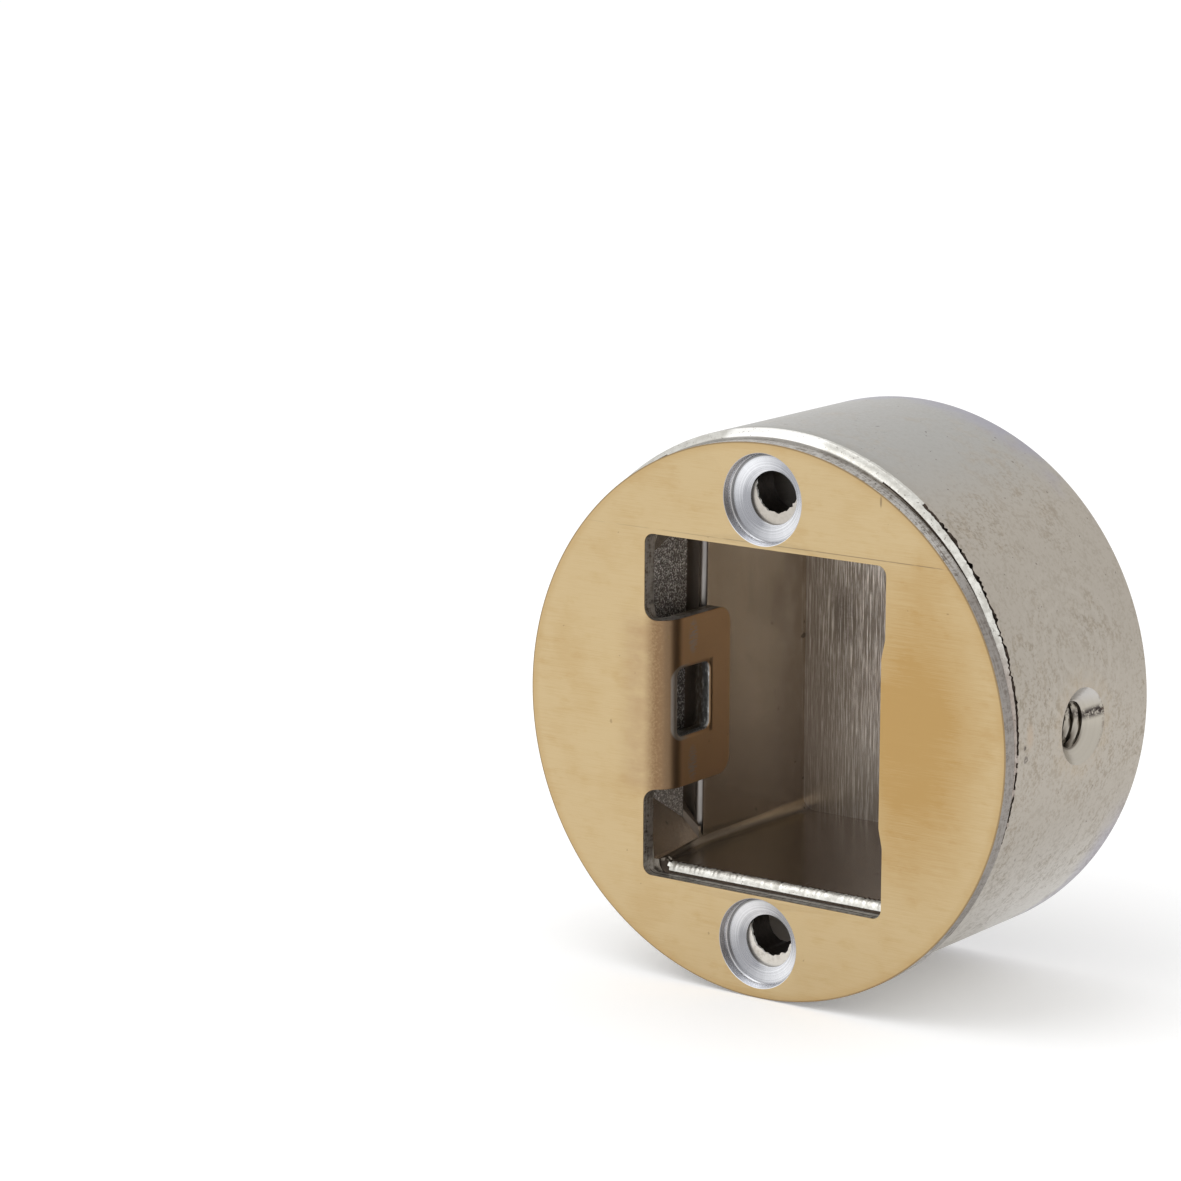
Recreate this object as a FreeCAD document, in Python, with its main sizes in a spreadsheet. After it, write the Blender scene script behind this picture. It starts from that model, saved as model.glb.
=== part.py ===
# Round strike box of a tubular deadbolt: a bent-tongue face plate on a cast round housing.
# Millimetres. The front face of the plate lies in the XZ plane at Y = 0 and faces -Y,
# Z is up, and the box reaches back into the door frame along +Y.
import FreeCAD, Part
import math
import os

import Sketcher

os.makedirs("parts", exist_ok=True)
doc = FreeCAD.newDocument("strike_box")
sheet = doc.addObject("Spreadsheet::Sheet", "Sizes")
SLACK = 1e-4  # how closely an edge has to lie where it is looked for

# Driving dimensions, one row each: alias, value, what it measures
SIZES = [
    ("plate_radius", 20.0, "radius of the round face plate and of the housing behind it"),
    ("plate_thick", 1.3, "sheet thickness of the plate and its tongue"),
    ("plate_edge_round", 0.12, "rolled-over front edge of the stamping"),
    ("opening_left", 10.0, "plate centre to the left edge of the bolt opening"),
    ("opening_right", 10.25, "plate centre to the right edge of the bolt opening"),
    ("opening_land", 0.25, "land between the opening and the screw seats"),
    ("opening_corner", 0.7, "corner radius of the bolt opening"),
    ("lip_step", 0.3, "how far the middle of the right edge stands into the opening"),
    ("lip_half", 6.0, "half the height of that middle stretch"),
    ("lip_slope", 1.4, "height of the slope at each end of that stretch"),
    ("tongue_half", 6.2, "half the width of the bent tongue"),
    ("tongue_reach", 8.1, "front face to the tip of the tongue"),
    ("tongue_bend", 1.9, "outside radius of the tongue's bend"),
    ("tongue_root", 1.0, "radius of the notch at each side of the root"),
    ("tongue_tip", 1.3, "corner radius at the tip of the tongue"),
    ("slot_start", 2.2, "front face to the near end of the screwdriver slot"),
    ("slot_end", 5.6, "front face to the far end of the screwdriver slot"),
    ("slot_half", 2.5, "half the height of the screwdriver slot"),
    ("slot_corner", 0.6, "corner radius of the screwdriver slot"),
    ("edge_land", 0.75, "land between the screw seats and the edge of the plate"),
    ("screw_radius", 1.9, "radius of the screw holes in the plate"),
    ("head_radius", 3.25, "radius of the seat for each screw head"),
    ("head_lip", 0.7, "straight wall above the cone of the seat"),
    ("screw_land", 0.42, "straight wall under the cone of the seat"),
    ("plate_drop", 0.7, "how far the loose plate hangs below the housing's centre"),
    ("body_wall", 2.0, "round outer wall of the housing"),
    ("front_web", 3.4, "thickness of the web behind the plate"),
    ("front_bevel", 0.45, "radial width of the bevel round the front edge"),
    ("front_bevel_long", 0.7, "length of that bevel along the side"),
    ("rear_bevel", 0.3, "bevel round the rear edge"),
    ("tongue_clear", 0.1, "gap between the back of the tongue and the pocket wall"),
    ("pocket_margin", 0.15, "how far the pocket stands back from the opening at the right"),
    ("pocket_depth", 16.7, "front of the housing to the back of the bolt pocket"),
    ("back_web", 1.7, "thickness of the casting behind the pocket"),
    ("pocket_round", 0.9, "fillets inside the bolt pocket"),
    ("mouth_round", 0.7, "rounded front edge of the bolt pocket"),
    ("pocket_wall", 1.5, "walls of the pocket above, below and at the right"),
    ("tongue_wall", 2.4, "thicker pocket wall beside the tongue"),
    ("relief_clear", 0.3, "how far the relief stands back from the left edge of the opening"),
    ("relief_past", 3.9, "how far the relief runs on behind the tongue's bend"),
    ("relief_under", 0.7, "how far the relief reaches below the tongue at the front"),
    ("relief_under_end", 2.4, "bottom of the pocket to the end of the relief"),
    ("relief_over", 2.3, "top of the pocket to the relief at the front"),
    ("relief_over_end", 1.3, "top of the pocket to the relief at its end"),
    ("slit_wide", 1.0, "width of the slit at the end of the relief"),
    ("slit_cut", 1.7, "depth of that slit into the wall"),
    ("slit_drop", 0.7, "how far the slit reaches below the end of the relief"),
    ("slit_round", 0.45, "rounded edge of the wall beyond the slit"),
    ("shank_radius", 1.5, "radius of a screw that passes with the plate hanging low"),
    ("side_hole_back", 9.15, "front of the housing to the side hole"),
    ("side_hole_radius", 1.75, "radius of the side hole"),
    ("side_seat_radius", 2.95, "radius of the cone at the mouth of the side hole"),
    ("side_seat_deep", 1.0, "depth of that cone"),
    ("side_pad_radius", 4.2, "radius of the pad inside the wall at the side hole"),
    ("side_pad_thick", 1.2, "thickness of that pad"),
]
for row, (alias, value, words) in enumerate(SIZES, start=1):
    sheet.set(f"A{row}", words)
    sheet.set(f"B{row}", str(value))
    sheet.setAlias(f"B{row}", alias)
doc.recompute()


def size(expression):
    """The value of an expression written with the sheet's aliases."""
    return float(sheet.evalExpression(expression))


def new_body(name):
    body = doc.addObject("PartDesign::Body", name)
    body.Label = name
    return body


def plane_of(body, role):
    """One of the body's own origin planes, such as XZ_Plane."""
    return next(plane for plane in body.Origin.OriginFeatures if plane.Role == role)


def sketch_on(body, role, name, offset=None):
    """A sketch on an origin plane, moved along the plane's normal by an expression."""
    sketch = body.newObject("Sketcher::SketchObject", name)
    sketch.AttachmentSupport = [(plane_of(body, role), "")]
    sketch.MapMode = "FlatFace"
    if offset:
        sketch.setExpression("AttachmentOffset.Base.z", offset)
    return sketch


def locate(sketch, element, point, across, up):
    """Hold a point of the sketch at two expressions; one that opens with ~ stays free."""
    for kind, expression in (("DistanceX", across), ("DistanceY", up)):
        if expression.startswith("~"):
            continue
        number = sketch.addConstraint(
            Sketcher.Constraint(kind, -1, 1, element, point, size(expression))
        )
        sketch.setExpression(f"Constraints[{number}]", expression)


def outline(sketch, corners, arcs=()):
    """A closed outline through the corners, where arcs gives the centre of the side that
    starts at a corner, and True if that arc turns anticlockwise."""
    arcs = dict(arcs)
    where = [
        FreeCAD.Vector(size(across.lstrip("~")), size(up.lstrip("~")), 0) for across, up in corners
    ]
    ends = []
    for number, start in enumerate(where):
        end = where[(number + 1) % len(where)]
        if number in arcs:
            (across, up), anticlockwise = arcs[number]
            centre = FreeCAD.Vector(size(across), size(up), 0)
            first, last = (start, end) if anticlockwise else (end, start)
            angles = [math.atan2(spot.y - centre.y, spot.x - centre.x) for spot in (first, last)]
            circle = Part.Circle(centre, FreeCAD.Vector(0, 0, 1), (first - centre).Length)
            side = sketch.addGeometry(Part.ArcOfCircle(circle, *angles), False)
            locate(sketch, side, 3, across, up)
            ends.append((side, 1, 2) if anticlockwise else (side, 2, 1))
        else:
            side = sketch.addGeometry(Part.LineSegment(start, end), False)
            ends.append((side, 1, 2))
    for number, (across, up) in enumerate(corners):
        side, first, _ = ends[number]
        before, _, last = ends[number - 1]
        sketch.addConstraint(Sketcher.Constraint("Coincident", before, last, side, first))
        locate(sketch, side, first, across, up)


def disc(sketch, across, up, radius):
    """A circle whose centre and radius are expressions."""
    centre = FreeCAD.Vector(size(across), size(up), 0)
    ring = sketch.addGeometry(Part.Circle(centre, FreeCAD.Vector(0, 0, 1), size(radius)), False)
    locate(sketch, ring, 3, across, up)
    number = sketch.addConstraint(Sketcher.Constraint("Radius", ring, size(radius)))
    sketch.setExpression(f"Constraints[{number}]", radius)


def axis_line(sketch, start, end):
    """A construction line to turn a profile about; both its ends are held."""
    line = Part.LineSegment(
        FreeCAD.Vector(size(start[0]), size(start[1]), 0),
        FreeCAD.Vector(size(end[0]), size(end[1]), 0),
    )
    number = sketch.addGeometry(line, True)
    locate(sketch, number, 1, *start)
    locate(sketch, number, 2, *end)


def extrude(body, kind, name, sketch, length, backwards=False, both=False):
    """A Pad or a Pocket of a sketch, by an expression for its length."""
    feature = body.newObject(f"PartDesign::{kind}", name)
    feature.Profile = sketch
    feature.Reversed = backwards
    if both:
        feature.SideType = "Symmetric"
    feature.setExpression("Length", length)
    doc.recompute()
    return feature


def turn(body, kind, name, sketch, axis):
    """A full Revolution or Groove of a sketch about one of its lines."""
    feature = body.newObject(f"PartDesign::{kind}", name)
    feature.Profile = sketch
    feature.ReferenceAxis = (sketch, [axis])
    feature.Angle = 360
    doc.recompute()
    return feature


def round_edges(body, name, base, radius, chosen):
    """A fillet of every edge of the base that the test picks."""
    names = [f"Edge{n}" for n, edge in enumerate(base.Shape.Edges, start=1) if chosen(edge)]
    feature = body.newObject("PartDesign::Fillet", name)
    feature.Base = (base, names)
    feature.setExpression("Radius", radius)
    doc.recompute()
    return feature


def runs_along(edge, axis):
    """True for a straight edge parallel to an axis, given as 0, 1 or 2 for X, Y or Z."""
    if edge.Degenerated or not isinstance(edge.Curve, Part.Line):
        return False
    return abs(abs(edge.Curve.Direction[axis]) - 1) < SLACK


def middle(edge):
    return edge.valueAt((edge.FirstParameter + edge.LastParameter) / 2)


def near(value, expression):
    return abs(value - size(expression)) < SLACK


# The face plate: one stamping, blanked from sheet with its tongue bent back through the opening
plate = new_body("face_plate")
screw_centre = "Sizes.plate_radius - Sizes.edge_land - Sizes.head_radius"
opening_half = screw_centre + " - Sizes.head_radius - Sizes.opening_land"

round_blank = sketch_on(plate, "XZ_Plane", "plate_outline")
disc(round_blank, "0", "0", "Sizes.plate_radius")
blank = extrude(plate, "Pad", "plate_blank", round_blank, "Sizes.plate_thick", backwards=True)
round_edges(
    plate, "plate_edge", blank, "Sizes.plate_edge_round", lambda edge: near(middle(edge).y, "0")
)

# The bolt opening, whose right edge stands in a little over its middle stretch
opening_outline = sketch_on(plate, "XZ_Plane", "opening_outline")
outline(
    opening_outline,
    [
        ("-Sizes.opening_left", f"-({opening_half})"),
        ("Sizes.opening_right", f"-({opening_half})"),
        ("Sizes.opening_right", "-Sizes.lip_half - Sizes.lip_slope"),
        ("Sizes.opening_right - Sizes.lip_step", "-Sizes.lip_half"),
        ("Sizes.opening_right - Sizes.lip_step", "Sizes.lip_half"),
        ("Sizes.opening_right", "Sizes.lip_half + Sizes.lip_slope"),
        ("Sizes.opening_right", opening_half),
        ("-Sizes.opening_left", opening_half),
    ],
)
opening = extrude(plate, "Pocket", "bolt_opening", opening_outline, "2 * Sizes.plate_thick", both=True)
round_edges(
    plate,
    "opening_corners",
    opening,
    "Sizes.opening_corner",
    lambda edge: runs_along(edge, 1) and near(abs(middle(edge).z), opening_half),
)

# The tongue: a bent strip that leaves the left edge of the opening and turns back along +Y
tongue_profile = sketch_on(plate, "XY_Plane", "tongue_profile")
bend_centre = ("-Sizes.opening_left", "Sizes.tongue_bend")
tongue_front = "-Sizes.opening_left + Sizes.tongue_bend"
tongue_back = tongue_front + " - Sizes.plate_thick"
outline(
    tongue_profile,
    [
        ("-Sizes.opening_left", "0"),
        ("~" + tongue_front, "Sizes.tongue_bend"),
        (tongue_front, "Sizes.tongue_reach"),
        (tongue_back, "Sizes.tongue_reach"),
        ("~" + tongue_back, "Sizes.tongue_bend"),
        ("-Sizes.opening_left", "Sizes.plate_thick"),
    ],
    arcs=[(0, (bend_centre, True)), (4, (bend_centre, False))],
)
extrude(
    plate,
    "Pad",
    "tongue_strip",
    tongue_profile,
    "2 * (Sizes.tongue_half + Sizes.tongue_root)",
    both=True,
)

# Notches with a round root at each side of the tongue
for side, sign in (("upper", ""), ("lower", "-")):
    notch = sketch_on(plate, "XZ_Plane", f"{side}_notch_outline")
    far = "-Sizes.opening_left + Sizes.tongue_bend + Sizes.plate_thick"
    root = "-Sizes.opening_left + Sizes.tongue_root"
    wide = f"{sign}(Sizes.tongue_half + Sizes.tongue_root)"
    outline(
        notch,
        [
            ("~-Sizes.opening_left", wide),
            (root, f"{sign}Sizes.tongue_half"),
            (far, f"{sign}Sizes.tongue_half"),
            (far, wide),
        ],
        arcs=[(0, ((root, wide), side == "upper"))],
    )
    tongue = extrude(
        plate, "Pocket", f"{side}_notch", notch, "2 * Sizes.tongue_reach + Sizes.plate_thick", both=True
    )

round_edges(
    plate,
    "tongue_corners",
    tongue,
    "Sizes.tongue_tip",
    lambda edge: runs_along(edge, 0) and near(middle(edge).y, "Sizes.tongue_reach"),
)

# The slot that a screwdriver levers in to set the tongue
slot_outline = sketch_on(plate, "YZ_Plane", "slot_outline")
outline(
    slot_outline,
    [
        ("Sizes.slot_start", "-Sizes.slot_half"),
        ("Sizes.slot_end", "-Sizes.slot_half"),
        ("Sizes.slot_end", "Sizes.slot_half"),
        ("Sizes.slot_start", "Sizes.slot_half"),
    ],
)
slot = extrude(plate, "Pocket", "driver_slot", slot_outline, "2 * Sizes.plate_radius", both=True)
round_edges(
    plate,
    "slot_corners",
    slot,
    "Sizes.slot_corner",
    lambda edge: runs_along(edge, 0)
    and near(abs(middle(edge).z), "Sizes.slot_half")
    and middle(edge).y < size("Sizes.tongue_reach - Sizes.slot_corner"),
)

# The seats for the two screw heads, one above and one below the opening
seat_profile = sketch_on(plate, "YZ_Plane", "seat_profile")
outline(
    seat_profile,
    [
        ("-Sizes.head_lip", screw_centre),
        ("2 * Sizes.plate_thick", screw_centre),
        ("2 * Sizes.plate_thick", screw_centre + " + Sizes.screw_radius"),
        ("Sizes.plate_thick - Sizes.screw_land", screw_centre + " + Sizes.screw_radius"),
        ("Sizes.head_lip", screw_centre + " + Sizes.head_radius"),
        ("-Sizes.head_lip", screw_centre + " + Sizes.head_radius"),
    ],
)
axis_line(seat_profile, ("-Sizes.head_lip", screw_centre), ("Sizes.plate_thick", screw_centre))
seat = turn(plate, "Groove", "upper_screw_seat", seat_profile, "Axis0")
seats = plate.newObject("PartDesign::Mirrored", "screw_seats")
seats.Originals = [seat]
seats.MirrorPlane = (plane_of(plate, "XY_Plane"), [""])
plate.Tip = seats
doc.recompute()


# The housing: one die casting, a round wall with a front web and a closed pocket for the bolt.
# It is modelled about its own axis, then set behind the plate, which hangs a little low on it.
housing = new_body("housing")
housing.setExpression("Placement.Base.y", "Sizes.plate_thick")
housing.setExpression("Placement.Base.z", "Sizes.plate_drop")

body_depth = "Sizes.pocket_depth + Sizes.back_web"
wall_profile = sketch_on(housing, "XY_Plane", "wall_profile")
outline(
    wall_profile,
    [
        ("0", "0"),
        ("Sizes.plate_radius - Sizes.front_bevel", "0"),
        ("Sizes.plate_radius", "Sizes.front_bevel_long"),
        ("Sizes.plate_radius", body_depth + " - Sizes.rear_bevel"),
        ("Sizes.plate_radius - Sizes.rear_bevel", body_depth),
        ("Sizes.plate_radius - Sizes.body_wall", body_depth),
        ("Sizes.plate_radius - Sizes.body_wall", "Sizes.front_web"),
        ("0", "Sizes.front_web"),
    ],
)
turn(housing, "Revolution", "round_wall", wall_profile, "V_Axis")

pocket_box = sketch_on(housing, "XZ_Plane", "pocket_box_outline")
pocket_left = tongue_back + " - Sizes.tongue_clear"
pocket_right = "Sizes.opening_right + Sizes.pocket_margin"
box_left = pocket_left + " - Sizes.tongue_wall"
box_right = pocket_right + " + Sizes.pocket_wall"
box_half = opening_half + " + Sizes.pocket_wall"
outline(
    pocket_box,
    [
        (box_left, f"-({box_half})"),
        (box_right, f"-({box_half})"),
        (box_right, box_half),
        (box_left, box_half),
    ],
)
extrude(housing, "Pad", "pocket_box", pocket_box, body_depth, backwards=True)

pocket_outline = sketch_on(housing, "XZ_Plane", "pocket_outline")
outline(
    pocket_outline,
    [
        (pocket_left, f"-({opening_half})"),
        (pocket_right, f"-({opening_half})"),
        (pocket_right, opening_half),
        (pocket_left, opening_half),
    ],
)
pocket = extrude(housing, "Pocket", "bolt_pocket", pocket_outline, "Sizes.pocket_depth")


def inside_pocket(edge):
    """True for the pocket's long corners and the edges round its back."""
    spot = middle(edge)
    at_corner = near(abs(spot.z), opening_half) and runs_along(edge, 1)
    at_back = near(spot.y, "Sizes.pocket_depth")
    return at_corner or at_back


pocket_rounds = round_edges(housing, "pocket_fillets", pocket, "Sizes.pocket_round", inside_pocket)


def round_mouth(edge):
    """True for the edges where the pocket meets the front of the housing."""
    spot = middle(edge)
    inside = size(pocket_left) - SLACK < spot.x < size(pocket_right) + SLACK
    return near(spot.y, "0") and inside and abs(spot.z) < size(opening_half) + SLACK


round_edges(housing, "pocket_mouth", pocket_rounds, "Sizes.mouth_round", round_mouth)

# The relief that lets the tongue be bent away from the bolt, and the slit at its far end
relief_outline = sketch_on(housing, "YZ_Plane", "relief_outline")
relief_end = "Sizes.tongue_bend + Sizes.relief_past - Sizes.plate_thick"
relief_low = "-Sizes.plate_drop - Sizes.tongue_half - Sizes.relief_under"
relief_low_end = f"Sizes.relief_under_end - ({opening_half})"
relief_high = opening_half + " - Sizes.relief_over"
relief_high_end = opening_half + " - Sizes.relief_over_end"
outline(
    relief_outline,
    [
        ("-Sizes.plate_thick", relief_low),
        ("0", relief_low),
        (relief_end, relief_low_end),
        (relief_end, relief_high_end),
        ("0", relief_high),
        ("-Sizes.plate_thick", relief_high),
    ],
)
relief_wall = "Sizes.opening_left + Sizes.relief_clear"
extrude(housing, "Pocket", "tongue_relief", relief_outline, relief_wall)

slit_profile = sketch_on(housing, "XY_Plane", "slit_profile", offset=relief_high_end)
slit_end = relief_end + " + Sizes.slit_wide"
slit_bottom = pocket_left + " - Sizes.slit_cut"
slit_edge = (pocket_left + " - Sizes.slit_round", slit_end + " + Sizes.slit_round")
outline(
    slit_profile,
    [
        (pocket_left, relief_end),
        ("~" + pocket_left, slit_edge[1]),
        (slit_edge[0], slit_end),
        (slit_bottom, slit_end),
        (slit_bottom, relief_end),
    ],
    arcs=[(1, (slit_edge, False))],
)
slit_height = f"{relief_high_end} - ({relief_low_end}) + Sizes.slit_drop"
extrude(housing, "Pocket", "relief_slit", slit_profile, slit_height)

# The two screw bores run the whole depth, beside the pocket
bore_outlines = sketch_on(housing, "XZ_Plane", "bore_outlines")
bore_radius = "Sizes.shank_radius + Sizes.plate_drop"
disc(bore_outlines, "0", screw_centre, bore_radius)
disc(bore_outlines, "0", f"-({screw_centre})", bore_radius)
extrude(housing, "Pocket", "screw_bores", bore_outlines, body_depth + " + Sizes.front_web")

# The side hole, countersunk from outside, through a pad on the inside of the wall
side_pad_outline = sketch_on(
    housing,
    "YZ_Plane",
    "side_pad_outline",
    offset="Sizes.plate_radius - Sizes.body_wall - Sizes.side_pad_thick",
)
disc(side_pad_outline, "Sizes.side_hole_back", "0", "Sizes.side_pad_radius")
extrude(
    housing, "Pad", "side_pad", side_pad_outline, "Sizes.side_pad_thick + Sizes.body_wall / 2"
)
side_profile = sketch_on(housing, "XY_Plane", "side_hole_profile")
side_bottom = "Sizes.plate_radius - Sizes.body_wall - 2 * Sizes.side_pad_thick"
side_seat = "Sizes.plate_radius - Sizes.side_seat_deep"
side_top = "Sizes.plate_radius + Sizes.side_seat_deep"
side_axis = "Sizes.side_hole_back"
side_rim = f"{side_axis} + 2 * Sizes.side_seat_radius - Sizes.side_hole_radius"
outline(
    side_profile,
    [
        (side_bottom, side_axis),
        (side_top, side_axis),
        (side_top, side_rim),
        (side_seat, f"{side_axis} + Sizes.side_hole_radius"),
        (side_bottom, f"{side_axis} + Sizes.side_hole_radius"),
    ],
)
axis_line(side_profile, (side_bottom, side_axis), (side_top, side_axis))
side_hole = turn(housing, "Groove", "side_hole", side_profile, "Axis0")
housing.Tip = side_hole
doc.recompute()


# Nothing is written unless every feature is sound and each piece is one valid solid
for item in doc.Objects:
    if {"Invalid", "Error"} & set(item.State):
        raise SystemExit(f"{item.Label} failed: {item.State}")
for body in (plate, housing):
    shape = body.Shape
    if shape.isNull() or not shape.isValid() or len(shape.Solids) != 1:
        raise SystemExit(f"{body.Label} is not one valid solid")
    print(body.Label, "volume", round(shape.Volume, 2), "mm3, box", shape.BoundBox)
    shape.exportStep(f"parts/{body.Label}.step")
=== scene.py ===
# Round strike box of a tubular deadbolt: a bent-tongue face plate on a cast round housing.
# Metres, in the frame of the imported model: the plate's front faces -Y and Z is up.
import math

import bmesh
import bpy
from mathutils import Matrix, Vector, noise


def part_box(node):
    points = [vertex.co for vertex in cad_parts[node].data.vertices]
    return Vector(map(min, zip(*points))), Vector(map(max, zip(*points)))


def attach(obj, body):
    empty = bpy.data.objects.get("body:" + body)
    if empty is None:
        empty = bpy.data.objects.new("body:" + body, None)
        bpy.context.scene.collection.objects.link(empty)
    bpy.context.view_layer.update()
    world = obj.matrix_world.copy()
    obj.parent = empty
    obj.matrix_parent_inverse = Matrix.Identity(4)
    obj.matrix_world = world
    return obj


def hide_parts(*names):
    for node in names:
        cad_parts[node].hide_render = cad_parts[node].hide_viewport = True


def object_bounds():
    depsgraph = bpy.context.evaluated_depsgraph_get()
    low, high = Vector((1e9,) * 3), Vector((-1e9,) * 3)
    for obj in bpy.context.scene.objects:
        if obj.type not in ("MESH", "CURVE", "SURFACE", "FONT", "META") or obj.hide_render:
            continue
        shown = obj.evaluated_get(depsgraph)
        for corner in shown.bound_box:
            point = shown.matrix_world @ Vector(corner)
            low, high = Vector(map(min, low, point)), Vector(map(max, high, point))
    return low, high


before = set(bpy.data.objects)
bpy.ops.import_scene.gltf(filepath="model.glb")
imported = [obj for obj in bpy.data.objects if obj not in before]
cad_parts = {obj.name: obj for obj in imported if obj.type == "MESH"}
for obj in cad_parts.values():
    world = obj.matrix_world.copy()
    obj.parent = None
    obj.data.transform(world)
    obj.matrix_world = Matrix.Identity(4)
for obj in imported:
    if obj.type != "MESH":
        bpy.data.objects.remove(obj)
cad_low, cad_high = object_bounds()

# The studio: soft even light all round, a pale floor just under the rim, and the camera to the
# right of the plate and a little above it, looking into the pocket.
CAMERA_PLACE = (0.16478, -0.24441, 0.07070)
CAMERA_TURN = math.radians(36.30)
CAMERA_DIP = math.radians(11.73)
CAMERA_ROLL = math.radians(0.14)
CAMERA_LENS = 131.56
FLOOR_SIZE = 4.0
FLOOR_GAP = 0.00002
WORLD_LEVEL = 0.92
LAMP_WATTS = 0.55
LAMP_SIZE = 0.35
LAMP_PLACE = (-0.12, -0.22, 0.42)
PAPER_GREY = (0.93, 0.93, 0.93, 1)
PAPER_GLOW = 0.16
WHITE = (1, 1, 1, 1)

eye = bpy.data.cameras.new("eye")
eye.lens = CAMERA_LENS
eye.sensor_width = 36.0
eye.clip_start = 0.01
eye.clip_end = 10.0
camera = bpy.data.objects.new("camera", eye)
camera.location = CAMERA_PLACE
facing = Matrix.Rotation(CAMERA_TURN, 4, "Z") @ Matrix.Rotation(math.pi / 2 - CAMERA_DIP, 4, "X")
camera.rotation_euler = (facing @ Matrix.Rotation(CAMERA_ROLL, 4, "Z")).to_euler()
bpy.context.scene.collection.objects.link(camera)
bpy.context.scene.camera = camera
bpy.context.scene.view_settings.view_transform = "Standard"


def add(tree, kind, sockets=None, **settings):
    """A shader node; a socket is linked where its value is another node's socket."""
    made = tree.nodes.new("ShaderNode" + kind)
    for name, value in settings.items():
        setattr(made, name, value)
    for key, value in (sockets or {}).items():
        if isinstance(value, bpy.types.NodeSocket):
            tree.links.new(value, made.inputs[key])
        else:
            made.inputs[key].default_value = value
    return made


def reckon(tree, operation, *values):
    """The result of a Math node."""
    return add(tree, "Math", dict(enumerate(values)), operation=operation).outputs[0]


def seen(tree):
    """1 for the rays that show a background, in the camera, in gloss and through glass."""
    rays = add(tree, "LightPath").outputs
    shown = reckon(tree, "MAXIMUM", rays["Is Camera Ray"], rays["Is Glossy Ray"])
    return reckon(tree, "MAXIMUM", shown, rays["Is Transmission Ray"])


world = bpy.data.worlds.new("white_room")
world.use_nodes = True
bpy.context.scene.world = world
sky = world.node_tree
sky.nodes.clear()
room = add(sky, "Background", {"Color": WHITE, "Strength": WORLD_LEVEL})
paper = add(sky, "Background", {"Color": WHITE, "Strength": 1.0})
either = add(sky, "MixShader", {0: seen(sky), 1: room.outputs[0], 2: paper.outputs[0]})
add(sky, "OutputWorld", {"Surface": either.outputs[0]})

lamp = bpy.data.lights.new("softbox", "AREA")
lamp.energy = LAMP_WATTS
lamp.size = LAMP_SIZE
softbox = bpy.data.objects.new("softbox", lamp)
softbox.location = LAMP_PLACE
softbox.rotation_euler = (-Vector(LAMP_PLACE)).to_track_quat("-Z", "Y").to_euler()
bpy.context.scene.collection.objects.link(softbox)


def new_material(name):
    """A material without any nodes, and its node tree."""
    material = bpy.data.materials.new(name)
    material.use_nodes = True
    material.node_tree.nodes.clear()
    return material, material.node_tree


floor_paint, tree = new_material("floor_paper")
matt = add(tree, "BsdfDiffuse", {"Color": PAPER_GREY})
glow_level = reckon(tree, "MULTIPLY", seen(tree), PAPER_GLOW)
glow = add(tree, "Emission", {"Color": WHITE, "Strength": glow_level})
both = add(tree, "AddShader", {0: matt.outputs[0], 1: glow.outputs[0]})
add(tree, "OutputMaterial", {"Surface": both.outputs[0]})
sheet_of_paper = bpy.data.meshes.new("floor")
half, level = FLOOR_SIZE / 2, cad_low.z - FLOOR_GAP
sheet_of_paper.from_pydata(
    [(-half, -half, level), (half, -half, level), (half, half, level), (-half, half, level)],
    [],
    [(0, 1, 2, 3)],
)
sheet_of_paper.materials.append(floor_paint)
floor = bpy.data.objects.new("floor", sheet_of_paper)
bpy.context.scene.collection.objects.link(floor)


# The face plate: one sheet steel stamping, blanked round, its tongue bent back through the bolt
# opening and its two screw seats coined. The front is satin brass; two screws hold it.
plate_low, plate_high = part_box("face_plate")
MM = 0.001
PLATE_RADIUS = (plate_high.x - plate_low.x) / 2 / MM
SHEET = 1.3
OPENING_LEFT = -10.0
OPENING_RIGHT = 10.25
OPENING_HALF = 12.5
OPENING_CORNER = 0.7
LIP_STEP = 0.3
LIP_HALF = 6.0
LIP_SLOPE = 1.4
TONGUE_HALF = 6.2
TONGUE_ROOT = 1.0
TONGUE_TIP = 1.3
TONGUE_REACH = plate_high.y / MM
BEND = 1.9
BEND_LONG = BEND * math.pi / 2
FOLDS = 18
SLOT_NEAR = 1.66
SLOT_FAR = 5.55
SLOT_HALF = 2.45
SLOT_CORNER = 0.55
SCREW_OFF = 16.0
SEAT_RADIUS = 3.25
HOLE_RADIUS = 1.9
SEAT_LIP = 0.8
SEAT_DEEP = 1.06
HOLE_DRIFT = 0.24
DISH_STEPS = 5
RIM_STEPS = 288
BRASS, SHEARED, TURNED = range(3)


def rounded(corners, steps=7):
    """Points of an outline whose corners, each given as x, z and radius, are rounded."""
    points = []
    for number, (x, z, radius) in enumerate(corners):
        corner = Vector((x, z))
        back = (Vector(corners[number - 1][:2]) - corner).normalized()
        on = (Vector(corners[(number + 1) % len(corners)][:2]) - corner).normalized()
        half_angle = back.angle(on) / 2
        reach = radius / math.tan(half_angle)
        centre = corner + (back + on).normalized() * radius / math.sin(half_angle)
        first = corner + back * reach - centre
        last = corner + on * reach - centre
        start = math.atan2(first.y, first.x)
        sweep = math.remainder(math.atan2(last.y, last.x) - start, math.tau)
        for step in range(steps + 1):
            angle = start + sweep * step / steps
            points.append(centre + Vector((math.cos(angle), math.sin(angle))) * radius)
    return points


def circle(radius, z=0.0, steps=96):
    """Points of a circle at a level, anticlockwise as every outline is."""
    angles = [math.tau * step / steps for step in range(steps)]
    return [Vector((radius * math.cos(angle), z + radius * math.sin(angle))) for angle in angles]


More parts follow.
